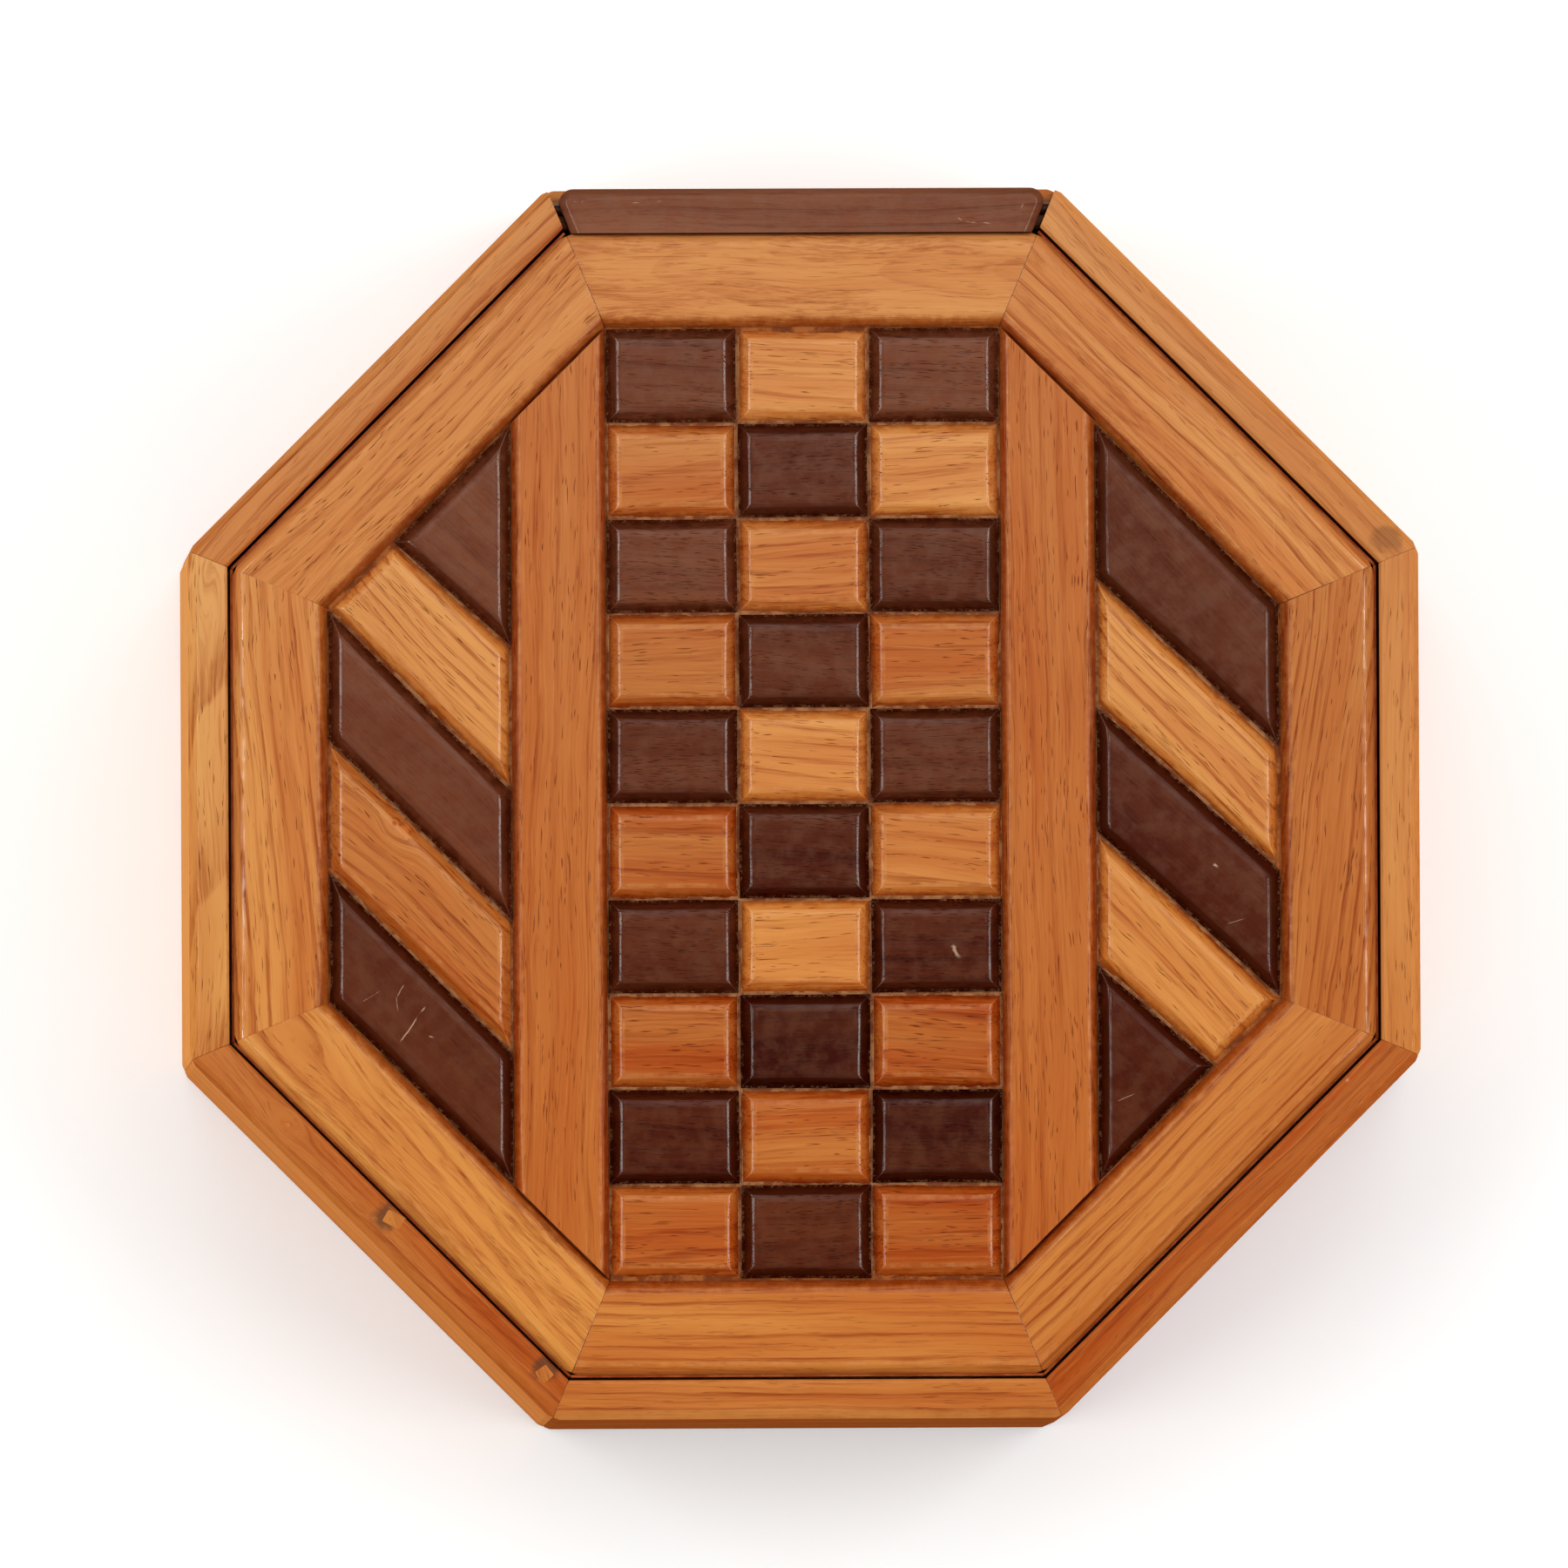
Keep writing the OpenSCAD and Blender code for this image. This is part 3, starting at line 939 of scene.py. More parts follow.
@dataclass(frozen=True)
class PaperFinish:
    """Pale seamless paper under the box, lit a little from below.

    Attributes:
        paper: Its colour.
        glow: Colour of the light from below.
        lit: Strength of that light.
    """

    paper: Colour
    glow: Colour = (0.60, 0.85, 1.0)
    lit: float = 0.17

    def material(self, name: str) -> bpy.types.Material:
        """Build the paper material, with a faint tooth.

        Args:
            name: Name of the material.

        Returns:
            The material.
        """
        material = bpy.data.materials.new(name)
        graph = Graph(material)
        place = graph.add("ShaderNodeTexCoord", None, None, "Object")
        tooth = graph.noise(place.stretched([900.0] * 3), 2.0)
        colour = graph.blend(tooth * 0.5, self.paper, scaled(self.paper, 0.97))
        constants = {"Roughness": 0.85, "Specular IOR Level": 0.1,
                     "Emission Color": self.glow, "Emission Strength": self.lit}
        graph.surface(constants, Base_Color=colour)
        return material


LIGHT_WOOD = WoodFinish(
    straw=linear(212, 147, 85),
    ember=linear(176, 80, 28),
    line_tint=(0.61, 0.38, 0.29),
    pore_tint=(0.46, 0.33, 0.27),
    slope_shade_tint=(0.88, 0.68, 0.46),
    wear_and_highlight=linear(222, 160, 96),
)
DARK_WOOD = WoodFinish(
    straw=linear(126, 74, 50),
    ember=linear(86, 32, 14),
    line_tint=(0.62, 0.50, 0.45),
    pore_tint=(0.48, 0.38, 0.34),
    slope_shade_tint=(0.46, 0.30, 0.20),
    wear_and_highlight=linear(116, 84, 66),
    rub=0.0,
    oiled=(0.80, 0.52, 0.30),
    pore_size=(1.7, 0.21),
    pore_share=0.46,
    fibre=0.4,
    film=0.24,
)
WALL_WOOD = WoodFinish(
    straw=linear(212, 152, 92),
    ember=linear(172, 78, 24),
    line_tint=(0.61, 0.38, 0.29),
    pore_tint=(0.46, 0.33, 0.27),
    slope_shade_tint=(0.96, 0.86, 0.72),
    wear_and_highlight=linear(224, 152, 84),
)
INNER_WOOD = WoodFinish(
    straw=linear(196, 156, 108),
    ember=linear(172, 118, 72),
    line_tint=(0.78, 0.66, 0.56),
    pore_tint=(0.60, 0.50, 0.42),
    slope_shade_tint=(1.0, 1.0, 1.0),
    wear_and_highlight=linear(208, 174, 132),
    gloss=0.62,
    shine=0.3,
    relief=0.8,
)
JOINT_WAX = WaxFinish(dark=linear(112, 58, 28), tan=linear(158, 106, 66))
FRAME_WAX = WaxFinish(dark=linear(104, 48, 14), tan=linear(152, 84, 36))
# orange bead in the gap round the lid: painted bounce light, for the red-brown light that the gap's
# walls throw into it
GAP_BOUNCE_LIGHT = WaxFinish(dark=linear(150, 62, 22), tan=linear(176, 88, 40))
PIN_STEEL = SteelFinish(steel=linear(58, 40, 28))
BACKGROUND = PaperFinish(paper=linear(250, 249, 247))


# --------------------------------------------------------------------------------------------
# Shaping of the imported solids
# --------------------------------------------------------------------------------------------

class ShapeTree:
    """Geometry nodes tree with one mesh in, one mesh out and a few numbers."""

    def __init__(self, name: str, numbers: dict[str, str]) -> None:
        """Start the tree.

        Args:
            name: Its name.
            numbers: Socket type of each number that it takes.
        """
        self.tree = bpy.data.node_groups.new(name, "GeometryNodeTree")
        face = self.tree.interface
        face.new_socket("Geometry", in_out="INPUT", socket_type="NodeSocketGeometry")
        self.keys = {
            label: face.new_socket(label, in_out="INPUT", socket_type=kind).identifier
            for label, kind in numbers.items()
        }
        face.new_socket("Geometry", in_out="OUTPUT", socket_type="NodeSocketGeometry")
        self.given = self.node("NodeGroupInput", {}).outputs

    def node(self, kind: str, links: dict[Union[str, int], Any],
             **settings: Any) -> bpy.types.Node:
        """Add a node.

        Args:
            kind: Blender's name for the node type.
            links: Values or sockets for its input sockets.
            **settings: Its properties, set before the sockets.

        Returns:
            The node.
        """
        node = self.tree.nodes.new(kind)
        for name, value in settings.items():
            setattr(node, name, value)
        for key, value in links.items():
            if isinstance(value, bpy.types.NodeSocket):
                self.tree.links.new(value, node.inputs[key])
            else:
                node.inputs[key].default_value = value
        return node

    def math(self, operation: str, *values: Any) -> bpy.types.NodeSocket:
        """Math node on values or sockets."""
        return self.node("ShaderNodeMath", dict(enumerate(values)), operation=operation).outputs[0]

    def finish(self, mesh: bpy.types.NodeSocket) -> None:
        """Send a mesh out of the tree."""
        self.node("NodeGroupOutput", {"Geometry": mesh})

    def apply(self, obj: bpy.types.Object, **numbers: float) -> None:
        """Put the tree on an object.

        Args:
            obj: The object.
            **numbers: The tree's numbers, by label.
        """
        modifier = obj.modifiers.new(self.tree.name, "NODES")
        modifier.node_group = self.tree
        for label, value in numbers.items():
            modifier[self.keys[label]] = value


class HandWork:
    """Geometry nodes that give a solid the marks of hand work.

    One tree says how round each edge gets. The other cuts the faces finer, moves the upper part
    sideways and down by a slow noise, and shades it smooth.
    """

    FLOOR_Z = 59.6 * MM  # height where the unevenness starts
    FULL_Z = 62.4 * MM  # height where it is full
    WAVE = 85.0  # waves in a metre
    LEAST_ANGLE = math.radians(20)
    STEEP_ANGLE = math.radians(43)

    def __init__(self) -> None:
        """Build both trees once."""
        self.edges = self._edge_tree()
        self.uneven = self._uneven_tree()

    def _edge_tree(self) -> ShapeTree:
        """Build the tree that says how round each edge gets, where the Bevel modifier reads it.

        Returns:
            The tree.
        """
        tree = ShapeTree("edge_marks", {"Foot": "NodeSocketFloat"})
        angle = tree.node("GeometryNodeInputMeshEdgeAngle", {}).outputs[0]
        sharp = tree.math("GREATER_THAN", angle, self.LEAST_ANGLE)
        steep = tree.math("GREATER_THAN", angle, self.STEEP_ANGLE)
        loss = tree.math("MULTIPLY", steep, tree.math("SUBTRACT", 1.0, tree.given["Foot"]))
        share = tree.math("MULTIPLY", sharp, tree.math("SUBTRACT", 1.0, loss))
        stored = tree.node(
            "GeometryNodeStoreNamedAttribute",
            {"Geometry": tree.given["Geometry"], "Name": "bevel_weight_edge", "Value": share},
            data_type="FLOAT", domain="EDGE")
        tree.finish(stored.outputs[0])
        return tree

    def _uneven_tree(self) -> ShapeTree:
        """Build the tree that makes the upper part of a piece uneven.

        Returns:
            The tree.
        """
        tree = ShapeTree("hand_work", {"Cuts": "NodeSocketInt", "Aside": "NodeSocketFloat",
                                       "Down": "NodeSocketFloat", "Seed": "NodeSocketFloat"})
        fine = tree.node("GeometryNodeSubdivideMesh",
                         {"Mesh": tree.given["Geometry"], "Level": tree.given["Cuts"]})
        place = tree.node("GeometryNodeInputPosition", {}).outputs[0]
        height = tree.node("ShaderNodeSeparateXYZ", {"Vector": place}).outputs[2]
        weight = tree.node(
            "ShaderNodeMapRange",
            {"Value": height, "From Min": self.FLOOR_Z, "From Max": self.FULL_Z}).outputs[0]
        noise = tree.node(
            "ShaderNodeTexNoise",
            {"Vector": place, "W": tree.given["Seed"], "Scale": self.WAVE, "Detail": 1.0},
            noise_dimensions="4D").outputs["Color"]
        parts = tree.node("ShaderNodeSeparateXYZ", {"Vector": noise}).outputs
        aside = tree.math("MULTIPLY", tree.given["Aside"], weight)
        down = tree.math("MULTIPLY", tree.given["Down"], weight)
        sideways = [tree.math("MULTIPLY", tree.math("SUBTRACT", parts[k], 0.5), aside)
                    for k in range(2)]
        sink = tree.math("MULTIPLY", parts[2], tree.math("MULTIPLY", down, -1.0))
        offset = tree.node("ShaderNodeCombineXYZ", {"X": sideways[0], "Y": sideways[1], "Z": sink})
        moved = tree.node("GeometryNodeSetPosition",
                          {"Geometry": fine.outputs[0], "Offset": offset.outputs[0]})
        smooth = tree.node("GeometryNodeSetShadeSmooth", {"Geometry": moved.outputs[0]})
        tree.finish(smooth.outputs[0])
        return tree


@dataclass(frozen=True)
class Softening:
    """How far the edges of a solid are rubbed round, and how uneven it is.

    Attributes:
        edge: Width of the rounding, m.
        rings: Facets in the rounding.
        cuts: How often each face is halved, 0 for no unevenness.
        aside: Widest sideways swing, m.
        down: Deepest dip, m.
        foot: Share of the rounding that edges steeper than a bevel's arris get.
    """

    edge: float
    rings: int = 3
    cuts: int = 0
    aside: float = 0.0
    down: float = 0.0
    foot: float = 1.0

    WELD = 0.002 * MM  # points nearer to each other than this become one
    FLAT = math.radians(0.6)  # faces that meet at less than this become one

    def apply(self, obj: bpy.types.Object, work: HandWork, seed: float) -> None:
        """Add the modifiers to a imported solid.

        Args:
            obj: The solid.
            work: The shared geometry nodes.
            seed: Picks the unevenness.
        """
        weld = obj.modifiers.new("weld", "WELD")
        weld.merge_threshold = self.WELD
        flat = obj.modifiers.new("flat_faces", "DECIMATE")
        flat.decimate_type = "DISSOLVE"
        flat.angle_limit = self.FLAT
        work.edges.apply(obj, Foot=self.foot)
        bevel = obj.modifiers.new("soft_edges", "BEVEL")
        bevel.width = self.edge
        bevel.segments = self.rings
        bevel.limit_method = "WEIGHT"
        bevel.miter_outer = "MITER_ARC"
        bevel.use_clamp_overlap = True
        work.uneven.apply(obj, Cuts=self.cuts, Aside=self.aside, Down=self.down, Seed=seed)
        shade = obj.modifiers.new("shade", "WEIGHTED_NORMAL")
        shade.weight = 60
        shade.keep_sharp = False


TILE_EDGE = Softening(0.80 * MM, 4, 2, 0.44 * MM, 0.22 * MM, 0.15)
STRIP_EDGE = Softening(0.80 * MM, 4, 3, 0.44 * MM, 0.22 * MM, 0.15)
FRAME_EDGE = Softening(0.10 * MM, 2, 3, 0.22 * MM, 0.16 * MM)
WALL_EDGE = Softening(0.16 * MM, 2)
RAIL_EDGE = Softening(0.12 * MM, 2)
INNER_EDGE = Softening(0.25 * MM, 2)
PIN_EDGE = Softening(0.10 * MM, 2)


# --------------------------------------------------------------------------------------------
# Sides and pieces of the box
# --------------------------------------------------------------------------------------------

class Side(Enum):
    """Sides of the octagon, with the direction that each one faces, degrees."""

    BACK = 90
    BACK_RIGHT = 45
    RIGHT = 0
    FRONT_RIGHT = 315
    FRONT = 270
    FRONT_LEFT = 225
    LEFT = 180
    BACK_LEFT = 135

    @property
    def label(self) -> str:
        """Name of the side as the nodes spell it."""
        return self.name.lower()

    @property
    def mitres(self) -> Point:
        """Directions that the mitre planes at its two ends face, degrees."""
        return self.value + 67.5, self.value - 67.5

    @property
    def outward(self) -> Vector:
        """Unit vector that leaves the box on this side."""
        return Vector((math.cos(math.radians(self.value)), math.sin(math.radians(self.value)), 0))

    @property
    def lengthways(self) -> Vector:
        """Unit vector along the side, anticlockwise."""
        return Vector((-self.outward.y, self.outward.x, 0))


class Hand(Enum):
    """Left and right fields of the lid, with the sign of their X."""

    LEFT = -1
    RIGHT = 1

    @property
    def label(self) -> str:
        """Name of the hand as the nodes spell it."""
        return self.name.lower()


def low_corner(name: str) -> Vector:
    """Lowest corner of a node at rest, m."""
    return Vector(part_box(name)[0])


def high_corner(name: str) -> Vector:
    """Highest corner of a node at rest, m."""
    return Vector(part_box(name)[1])


def settled(name: str, mesh: bmesh.types.BMesh) -> bpy.types.Mesh:
    """Turn a finished working mesh into mesh data.

    Args:
        name: Name of the data.
        mesh: The working mesh, which is freed.

    Returns:
        The mesh data.
    """
    data = bpy.data.meshes.new(name)
    mesh.to_mesh(data)
    mesh.free()
    return data


def placed(name: str, data: bpy.types.ID) -> bpy.types.Object:
    """Put a new object in the scene.

    Args:
        name: Name of the object.
        data: Its mesh, light or camera.

    Returns:
        The object.
    """
    obj = bpy.data.objects.new(name, data)
    bpy.context.scene.collection.objects.link(obj)
    return obj


def dress(name: str, finish: Any, softening: Softening, work: HandWork,
          board: Board | None = None) -> None:
    """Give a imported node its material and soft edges, and report it.

    Args:
        name: Name of the node.
        finish: Finish with a material method.
        softening: Rounding of its edges.
        work: Shared node groups for edges and unevenness.
        board: How a wooden piece was sawn.
    """
    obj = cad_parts[name]
    label = f"{name}_finish"
    middle = (low_corner(name) + high_corner(name)) / 2
    material = finish.material(label, board, middle) if board else finish.material(label)
    obj.data.materials.clear()
    obj.data.materials.append(material)
    softening.apply(obj, work, board.seed if board else 0.0)
    LOG.info("%s: %s", name, type(finish).__name__)


@dataclass
class Ribbon:
    """Uneven bead of wax along one joint, or of painted bounce light along the gap round the lid.

    Attributes:
        start: One end, mm.
        end: Other end, mm.
        level: Height of its middle, mm.
        reach: Half width, mm.
        swell: How much the level varies, mm.
    """

    start: Point
    end: Point
    level: float
    reach: float = 0.42
    swell: float = 0.12

    STEP = 0.8  # mm from one cross section to the next
    ACROSS = (-1.0, -0.55, 0.0, 0.55, 1.0)  # places over a cross section, in half widths
    DEPTH = 0.9  # mm that the bead reaches down
    CURL = 0.14  # mm that its sides climb
    MEMORY = 0.72  # share of the last section's level that the next one keeps

    def build(self, mesh: bmesh.types.BMesh, luck: random.Random) -> None:
        """Add the bead to a mesh.

        Args:
            mesh: The mesh that takes it.
            luck: Seeded random numbers.
        """
        start, end = Vector(self.start), Vector(self.end)
        run = end - start
        side = Vector((-run.y, run.x)).normalized()
        steps = max(2, round(run.length / self.STEP))
        tops, bottoms = [], []
        level = 0.0
        for k in range(steps + 1):
            level = level * self.MEMORY + luck.uniform(-1, 1) * self.swell * 0.6
            middle = start + run * (k / steps)
            row = []
            for share in self.ACROSS:
                spot = middle + side * share * self.reach
                rise = self.level + level + luck.uniform(-1, 1) * self.swell * 0.4
                rise += self.CURL * share * share
                row.append(mesh.verts.new((spot.x * MM, spot.y * MM, rise * MM)))
            tops.append(row)
            bottoms.append([
                mesh.verts.new((v.co.x, v.co.y, (self.level - self.DEPTH) * MM))
                for v in (row[0], row[-1])
            ])
        for k in range(steps):
            here, there = tops[k], tops[k + 1]
            for i in range(len(self.ACROSS) - 1):
                mesh.faces.new((here[i], there[i], there[i + 1], here[i + 1]))
            mesh.faces.new((bottoms[k][0], bottoms[k][1], bottoms[k + 1][1], bottoms[k + 1][0]))
            mesh.faces.new((bottoms[k][0], bottoms[k + 1][0], there[0], here[0]))
            mesh.faces.new((bottoms[k][1], here[-1], there[-1], bottoms[k + 1][1]))
        mesh.faces.new((bottoms[0][0], *tops[0], bottoms[0][1]))
        mesh.faces.new((bottoms[-1][1], *reversed(tops[-1]), bottoms[-1][0]))


def bead_object(name: str, ribbons: Sequence[Ribbon], seed: int) -> bpy.types.Object:
    """Join ribbons into one object: wax, or the painted bounce light in the lid gap.

    Args:
        name: Name of the piece.
        ribbons: Its beads.
        seed: Seed of its unevenness.

    Returns:
        The new object, linked to the scene.
    """
    mesh = bmesh.new()
    luck = random.Random(seed)
    for ribbon in ribbons:
        ribbon.build(mesh, luck)
    bmesh.ops.recalc_face_normals(mesh, faces=mesh.faces)
    data = settled(name, mesh)
    for face in data.polygons:
        face.use_smooth = True
    return placed(name, data)


class Plank(Enum):
    """Planks that the tiles and strips were cut from, with their redness and depth."""

    HONEY = (0.08, 0.02)
    TAN = (0.34, 0.16)
    COPPER = (0.50, 0.28)
    RUSSET = (0.64, 0.42)
    COCOA = (0.22, 0.19)
    UMBER = (0.52, 0.52)
    PLUM = (0.80, 0.56)
    SOOT = (0.96, 0.90)

    @property
    def red(self) -> float:
        """How red the plank is."""
        return self.value[0]

    @property
    def deep(self) -> float:
        """How dark the plank is."""
        return self.value[1]


@dataclass
class Lid:
    """Lid: board, frame, stiles, checker field, two slanting fields, rail, keeper, wax, and a bead
    of painted bounce light in the gap round it.

    Attributes:
        work: Node groups for edges and unevenness.
        rows: Rows of the checker field.
        columns: Columns of the checker field.
        strips: Strips in each side field.
        bevel_drop: Depth of the bevels under the faces, mm.
        field_r: Inner radius of the frame, mm.
        stile_in: Distance of the stiles' inner edges from the middle, mm.
        stile_out: Distance of their outer edges, mm.
        light_top: Height of the light faces, mm.
        dark_top: Height of the dark faces, mm.
    """

    work: HandWork
    rows: int = 10
    columns: int = 3
    strips: int = 5
    bevel_drop: float = 1.5
    field_r: float = field(init=False)
    stile_in: float = field(init=False)
    stile_out: float = field(init=False)
    light_top: float = field(init=False)
    dark_top: float = field(init=False)

    PLANKS = (
        (Plank.COCOA, Plank.HONEY, Plank.COCOA),
        (Plank.COPPER, Plank.UMBER, Plank.HONEY),
        (Plank.COCOA, Plank.TAN, Plank.UMBER),
        (Plank.RUSSET, Plank.UMBER, Plank.COPPER),
        (Plank.UMBER, Plank.HONEY, Plank.UMBER),
        (Plank.RUSSET, Plank.PLUM, Plank.TAN),
        (Plank.UMBER, Plank.HONEY, Plank.PLUM),
        (Plank.RUSSET, Plank.SOOT, Plank.RUSSET),
        (Plank.PLUM, Plank.COPPER, Plank.SOOT),
        (Plank.COPPER, Plank.UMBER, Plank.RUSSET),
    )
    STRIPS = {
        Hand.LEFT: (Plank.COCOA, Plank.HONEY, Plank.COCOA, Plank.COPPER, Plank.UMBER),
        Hand.RIGHT: (Plank.PLUM, Plank.HONEY, Plank.PLUM, Plank.HONEY, Plank.UMBER),
    }
    SEAMED = (Side.BACK, Side.FRONT)
    STRIP_GRAIN = -45.0
    CORNER = 0.36  # mm along Y from the corner of a strip to the middle of its joint
    WAX_SINK = 0.04  # mm that the wax lies under the foot of the bevels
    WAX_SEED = 500  # seed of the first group of beads

    def __post_init__(self) -> None:
        """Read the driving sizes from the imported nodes, mm."""
        self.field_r = low_corner("frame_back").y / MM
        self.stile_in = low_corner("stile_right").x / MM
        self.stile_out = high_corner("stile_right").x / MM
        self.light_top = high_corner("tile_row_01_light").z / MM
        self.dark_top = high_corner("tile_row_01_dark").z / MM

    def build(self) -> None:
        """Dress every node of the lid and lay the wax in its joints."""
        self.dress_frame()
        self.dress_stiles()
        self.dress_checker()
        self.dress_strips()
        self.dress_rail()
        self.dress_inside()
        self.lay_wax_and_gap_light()

    def dress_frame(self) -> None:
        """Dress the eight mitred frame pieces."""
        boards = {
            Side.BACK: dict(seed=1.0, red=0.24, year=2.2, figure=0.4, pith=(2.0, 9.0), tilt=0.12,
                            wander=3.0, swing=0.12, pores=0.5, feather=0.6),
            Side.BACK_RIGHT: dict(seed=2.0, red=0.26, year=2.4, figure=0.85, pith=(20.0, 9.0),
                                  pores=0.6, feather=0.5,
                                  marks=(Mark((76.2, 47.4), (76.2, 40.4), 0.06, 0.35),)),
            Side.RIGHT: dict(seed=3.0, red=0.40, deep=0.26, year=1.5, figure=1.0, pith=(24.0, 8.0),
                             lean=-7.0, waxed=0.7),
            Side.FRONT_RIGHT: dict(seed=4.0, red=0.34, deep=0.12, year=1.8, figure=1.0, wander=0.9,
                                   pores=0.5),
            Side.FRONT: dict(seed=5.0, red=0.34, deep=0.04, year=1.7, figure=1.0,
                             pith=(26.0, 8.0), wander=0.9, pores=0.5, swing=0.22),
            Side.FRONT_LEFT: dict(seed=6.0, red=0.0, deep=0.04, year=2.0, figure=0.65, pores=0.6,
                                  pith=(10.0, 14.0), tilt=0.08, feather=0.6,
                                  knots=(Knot((-82.4, -37.8), (10.0, 5.5), 4.5),)),
            Side.LEFT: dict(seed=7.0, red=0.24, year=2.2, figure=1.0, pith=(22.0, 8.0), lean=5.0,
                            swing=0.24, waxed=0.8),
            Side.BACK_LEFT: dict(seed=8.0, red=0.30, deep=0.04, year=2.6, figure=0.45,
                                 pith=(24.0, 10.0), swing=0.08, feather=0.3),
        }
        for side, facts in boards.items():
            lean = facts.pop("lean", 0.0)
            board = Board(grain=side.value + 90 + lean, joints=((side.value, self.field_r),),
                          band=2.8, slope=0.25, mitres=side.mitres if side in self.SEAMED else (),
                          **facts)
            dress(f"frame_{side.label}", LIGHT_WOOD, FRAME_EDGE, self.work, board)

    def dress_stiles(self) -> None:
        """Dress the two stiles beside the checker field."""
        for hand, red in ((Hand.LEFT, 0.60), (Hand.RIGHT, 0.64)):
            facing = 90 - 90 * hand.value
            board = Board(grain=90.0 + hand.value, seed=11.0 + hand.value, red=red, deep=0.16,
                          year=3.0, figure=0.5, pith=(30.0, 9.0), swing=0.10, band=1.6,
                          joints=((facing, self.stile_in), (facing, self.stile_out)))
            dress(f"stile_{hand.label}", LIGHT_WOOD, FRAME_EDGE, self.work, board)

    def dress_checker(self) -> None:
        """Dress the tiles, a node per row and wood."""
        luck = random.Random(41)
        marks = {7: (Mark((23.6, -23.2), (24.9, -25.2), 0.35, 0.5),)}
        for row, planks in enumerate(self.PLANKS, 1):
            middle_dark = row % 2 == 0
            for wood in ("light", "dark"):
                two = (wood == "dark") != middle_dark
                first, *rest = [planks[k] for k in ((0, 2) if two else (1,))]
                warm, cleaner = (0.013 * row, 0.08) if wood == "light" else (0.0, 0.0)
                board = Board(
                    grain=luck.uniform(-4, 4),
                    seed=20.0 + row * 3 + two,
                    red=first.red + warm,
                    deep=first.deep - cleaner,
                    year=luck.uniform(2.0, 3.4),
                    figure=luck.uniform(0.45, 0.8),
                    pith=(luck.uniform(4, 30), luck.uniform(6, 20)),
                    tilt=luck.uniform(-0.12, 0.12),
                    twin=(rest[0].red + warm, rest[0].deep - cleaner) if rest else None,
                    swing=0.22,
                    waxed=0.17 if wood == "dark" else 0.07,
                    rim=(self.dark_top if wood == "dark" else self.light_top) - self.bevel_drop,
                    marks=marks.get(row, ()) if wood == "dark" else (),
                )
                finish = DARK_WOOD if wood == "dark" else LIGHT_WOOD
                dress(f"tile_row_{row:02d}_{wood}", finish, TILE_EDGE, self.work, board)

    def dress_strips(self) -> None:
        """Dress the slanting strips. Odd ones are dark."""
        luck = random.Random(77)
        extras = {
            ("left", 4): dict(knots=(Knot((-64.6, -3.9), (4.0, 3.0), 3.0, 1.0),
                                     Knot((-66.3, -2.9), (3.0, 2.0), 1.2, 0.8)), figure=0.8,
                              wander=3.0),
            ("left", 5): dict(marks=(
                Mark((-65.0, -29.2), (-66.2, -31.2), 0.12, 0.40),
                Mark((-66.2, -31.2), (-66.0, -33.4), 0.10, 0.35),
                Mark((-61.6, -32.8), (-65.6, -38.4), 0.15, 0.60),
                Mark((-71.6, -31.8), (-68.8, -30.1), 0.10, 0.25),
                Mark((-60.9, -37.4), (-60.2, -37.8), 0.22, 0.5),
                Mark((-72.8, -35.2), (-66.4, -41.4), 0.08, 0.3),
            )),
            ("right", 3): dict(marks=(Mark((66.1, -10.2), (66.8, -10.7), 0.3, 0.8),
                                      Mark((68.4, -19.8), (71.0, -19.0), 0.07, 0.4))),
            ("right", 1): dict(marks=(Mark((50.4, -48.4), (53.2, -47.3), 0.07, 0.45),)),
        }
        for hand in Hand:
            for k in range(1, self.strips + 1):
                dark = k % 2 == 1
                facts = dict(
                    grain=self.STRIP_GRAIN + luck.uniform(-3, 3),
                    seed=60.0 + k + hand.value * 9,
                    red=self.STRIPS[hand][k - 1].red,
                    deep=self.STRIPS[hand][k - 1].deep,
                    year=luck.uniform(1.6, 2.2),
                    figure=0.3 if dark else 0.95,
                    pores=0.45 if dark else 1.0,
                    waxed=0.15 if dark else 0.07,
                    pith=(luck.uniform(6, 24), luck.uniform(8, 16)),
                    tilt=luck.uniform(-0.08, 0.08),
                    rim=(self.dark_top if dark else self.light_top) - self.bevel_drop,
                )
                facts.update(extras.get((hand.label, k), {}))
                finish = DARK_WOOD if dark else LIGHT_WOOD
                dress(f"strip_{hand.label}_{k}", finish, STRIP_EDGE, self.work, Board(**facts))

    def dress_rail(self) -> None:
        """Dress the dark hinge rail."""
        specks = (
            Mark((-36.9, 97.6), (-36.3, 97.5), 0.12, 0.6),
            Mark((-35.6, 97.3), (-35.4, 97.8), 0.12, 0.5),
            Mark((-27.4, 97.3), (-26.2, 97.3), 0.08, 0.5),
            Mark((-23.4, 97.5), (-22.6, 97.6), 0.08, 0.5),
            Mark((25.3, 94.6), (26.0, 94.3), 0.12, 0.7),
            Mark((26.6, 94.1), (28.2, 93.9), 0.12, 0.7),
            Mark((29.4, 93.9), (30.6, 93.7), 0.10, 0.5),
            Mark((35.6, 96.2), (35.9, 97.0), 0.10, 0.5),
        )
        board = Board(grain=0.5, seed=90.0, red=0.04, deep=0.02, year=2.2, figure=0.6,
                      pith=(20.0, 9.0), pores=0.35, slope=0.3, marks=specks)
        dress("hinge_rail", DARK_WOOD, RAIL_EDGE, self.work, board)

    def dress_inside(self) -> None:
        """Dress the board under the pattern and the keeper on it."""
        board = Board(grain=90.0, seed=100.0, red=0.4, year=5.0, figure=0.5, pith=(5.0, 30.0))
        dress("lid_board", INNER_WOOD, INNER_EDGE, self.work, board)
        keeper = Board(grain=0.0, seed=103.0, red=0.6, deep=0.1, year=2.2, pith=(20.0, 8.0))
        dress("bolt_keeper", INNER_WOOD, INNER_EDGE, self.work, keeper)

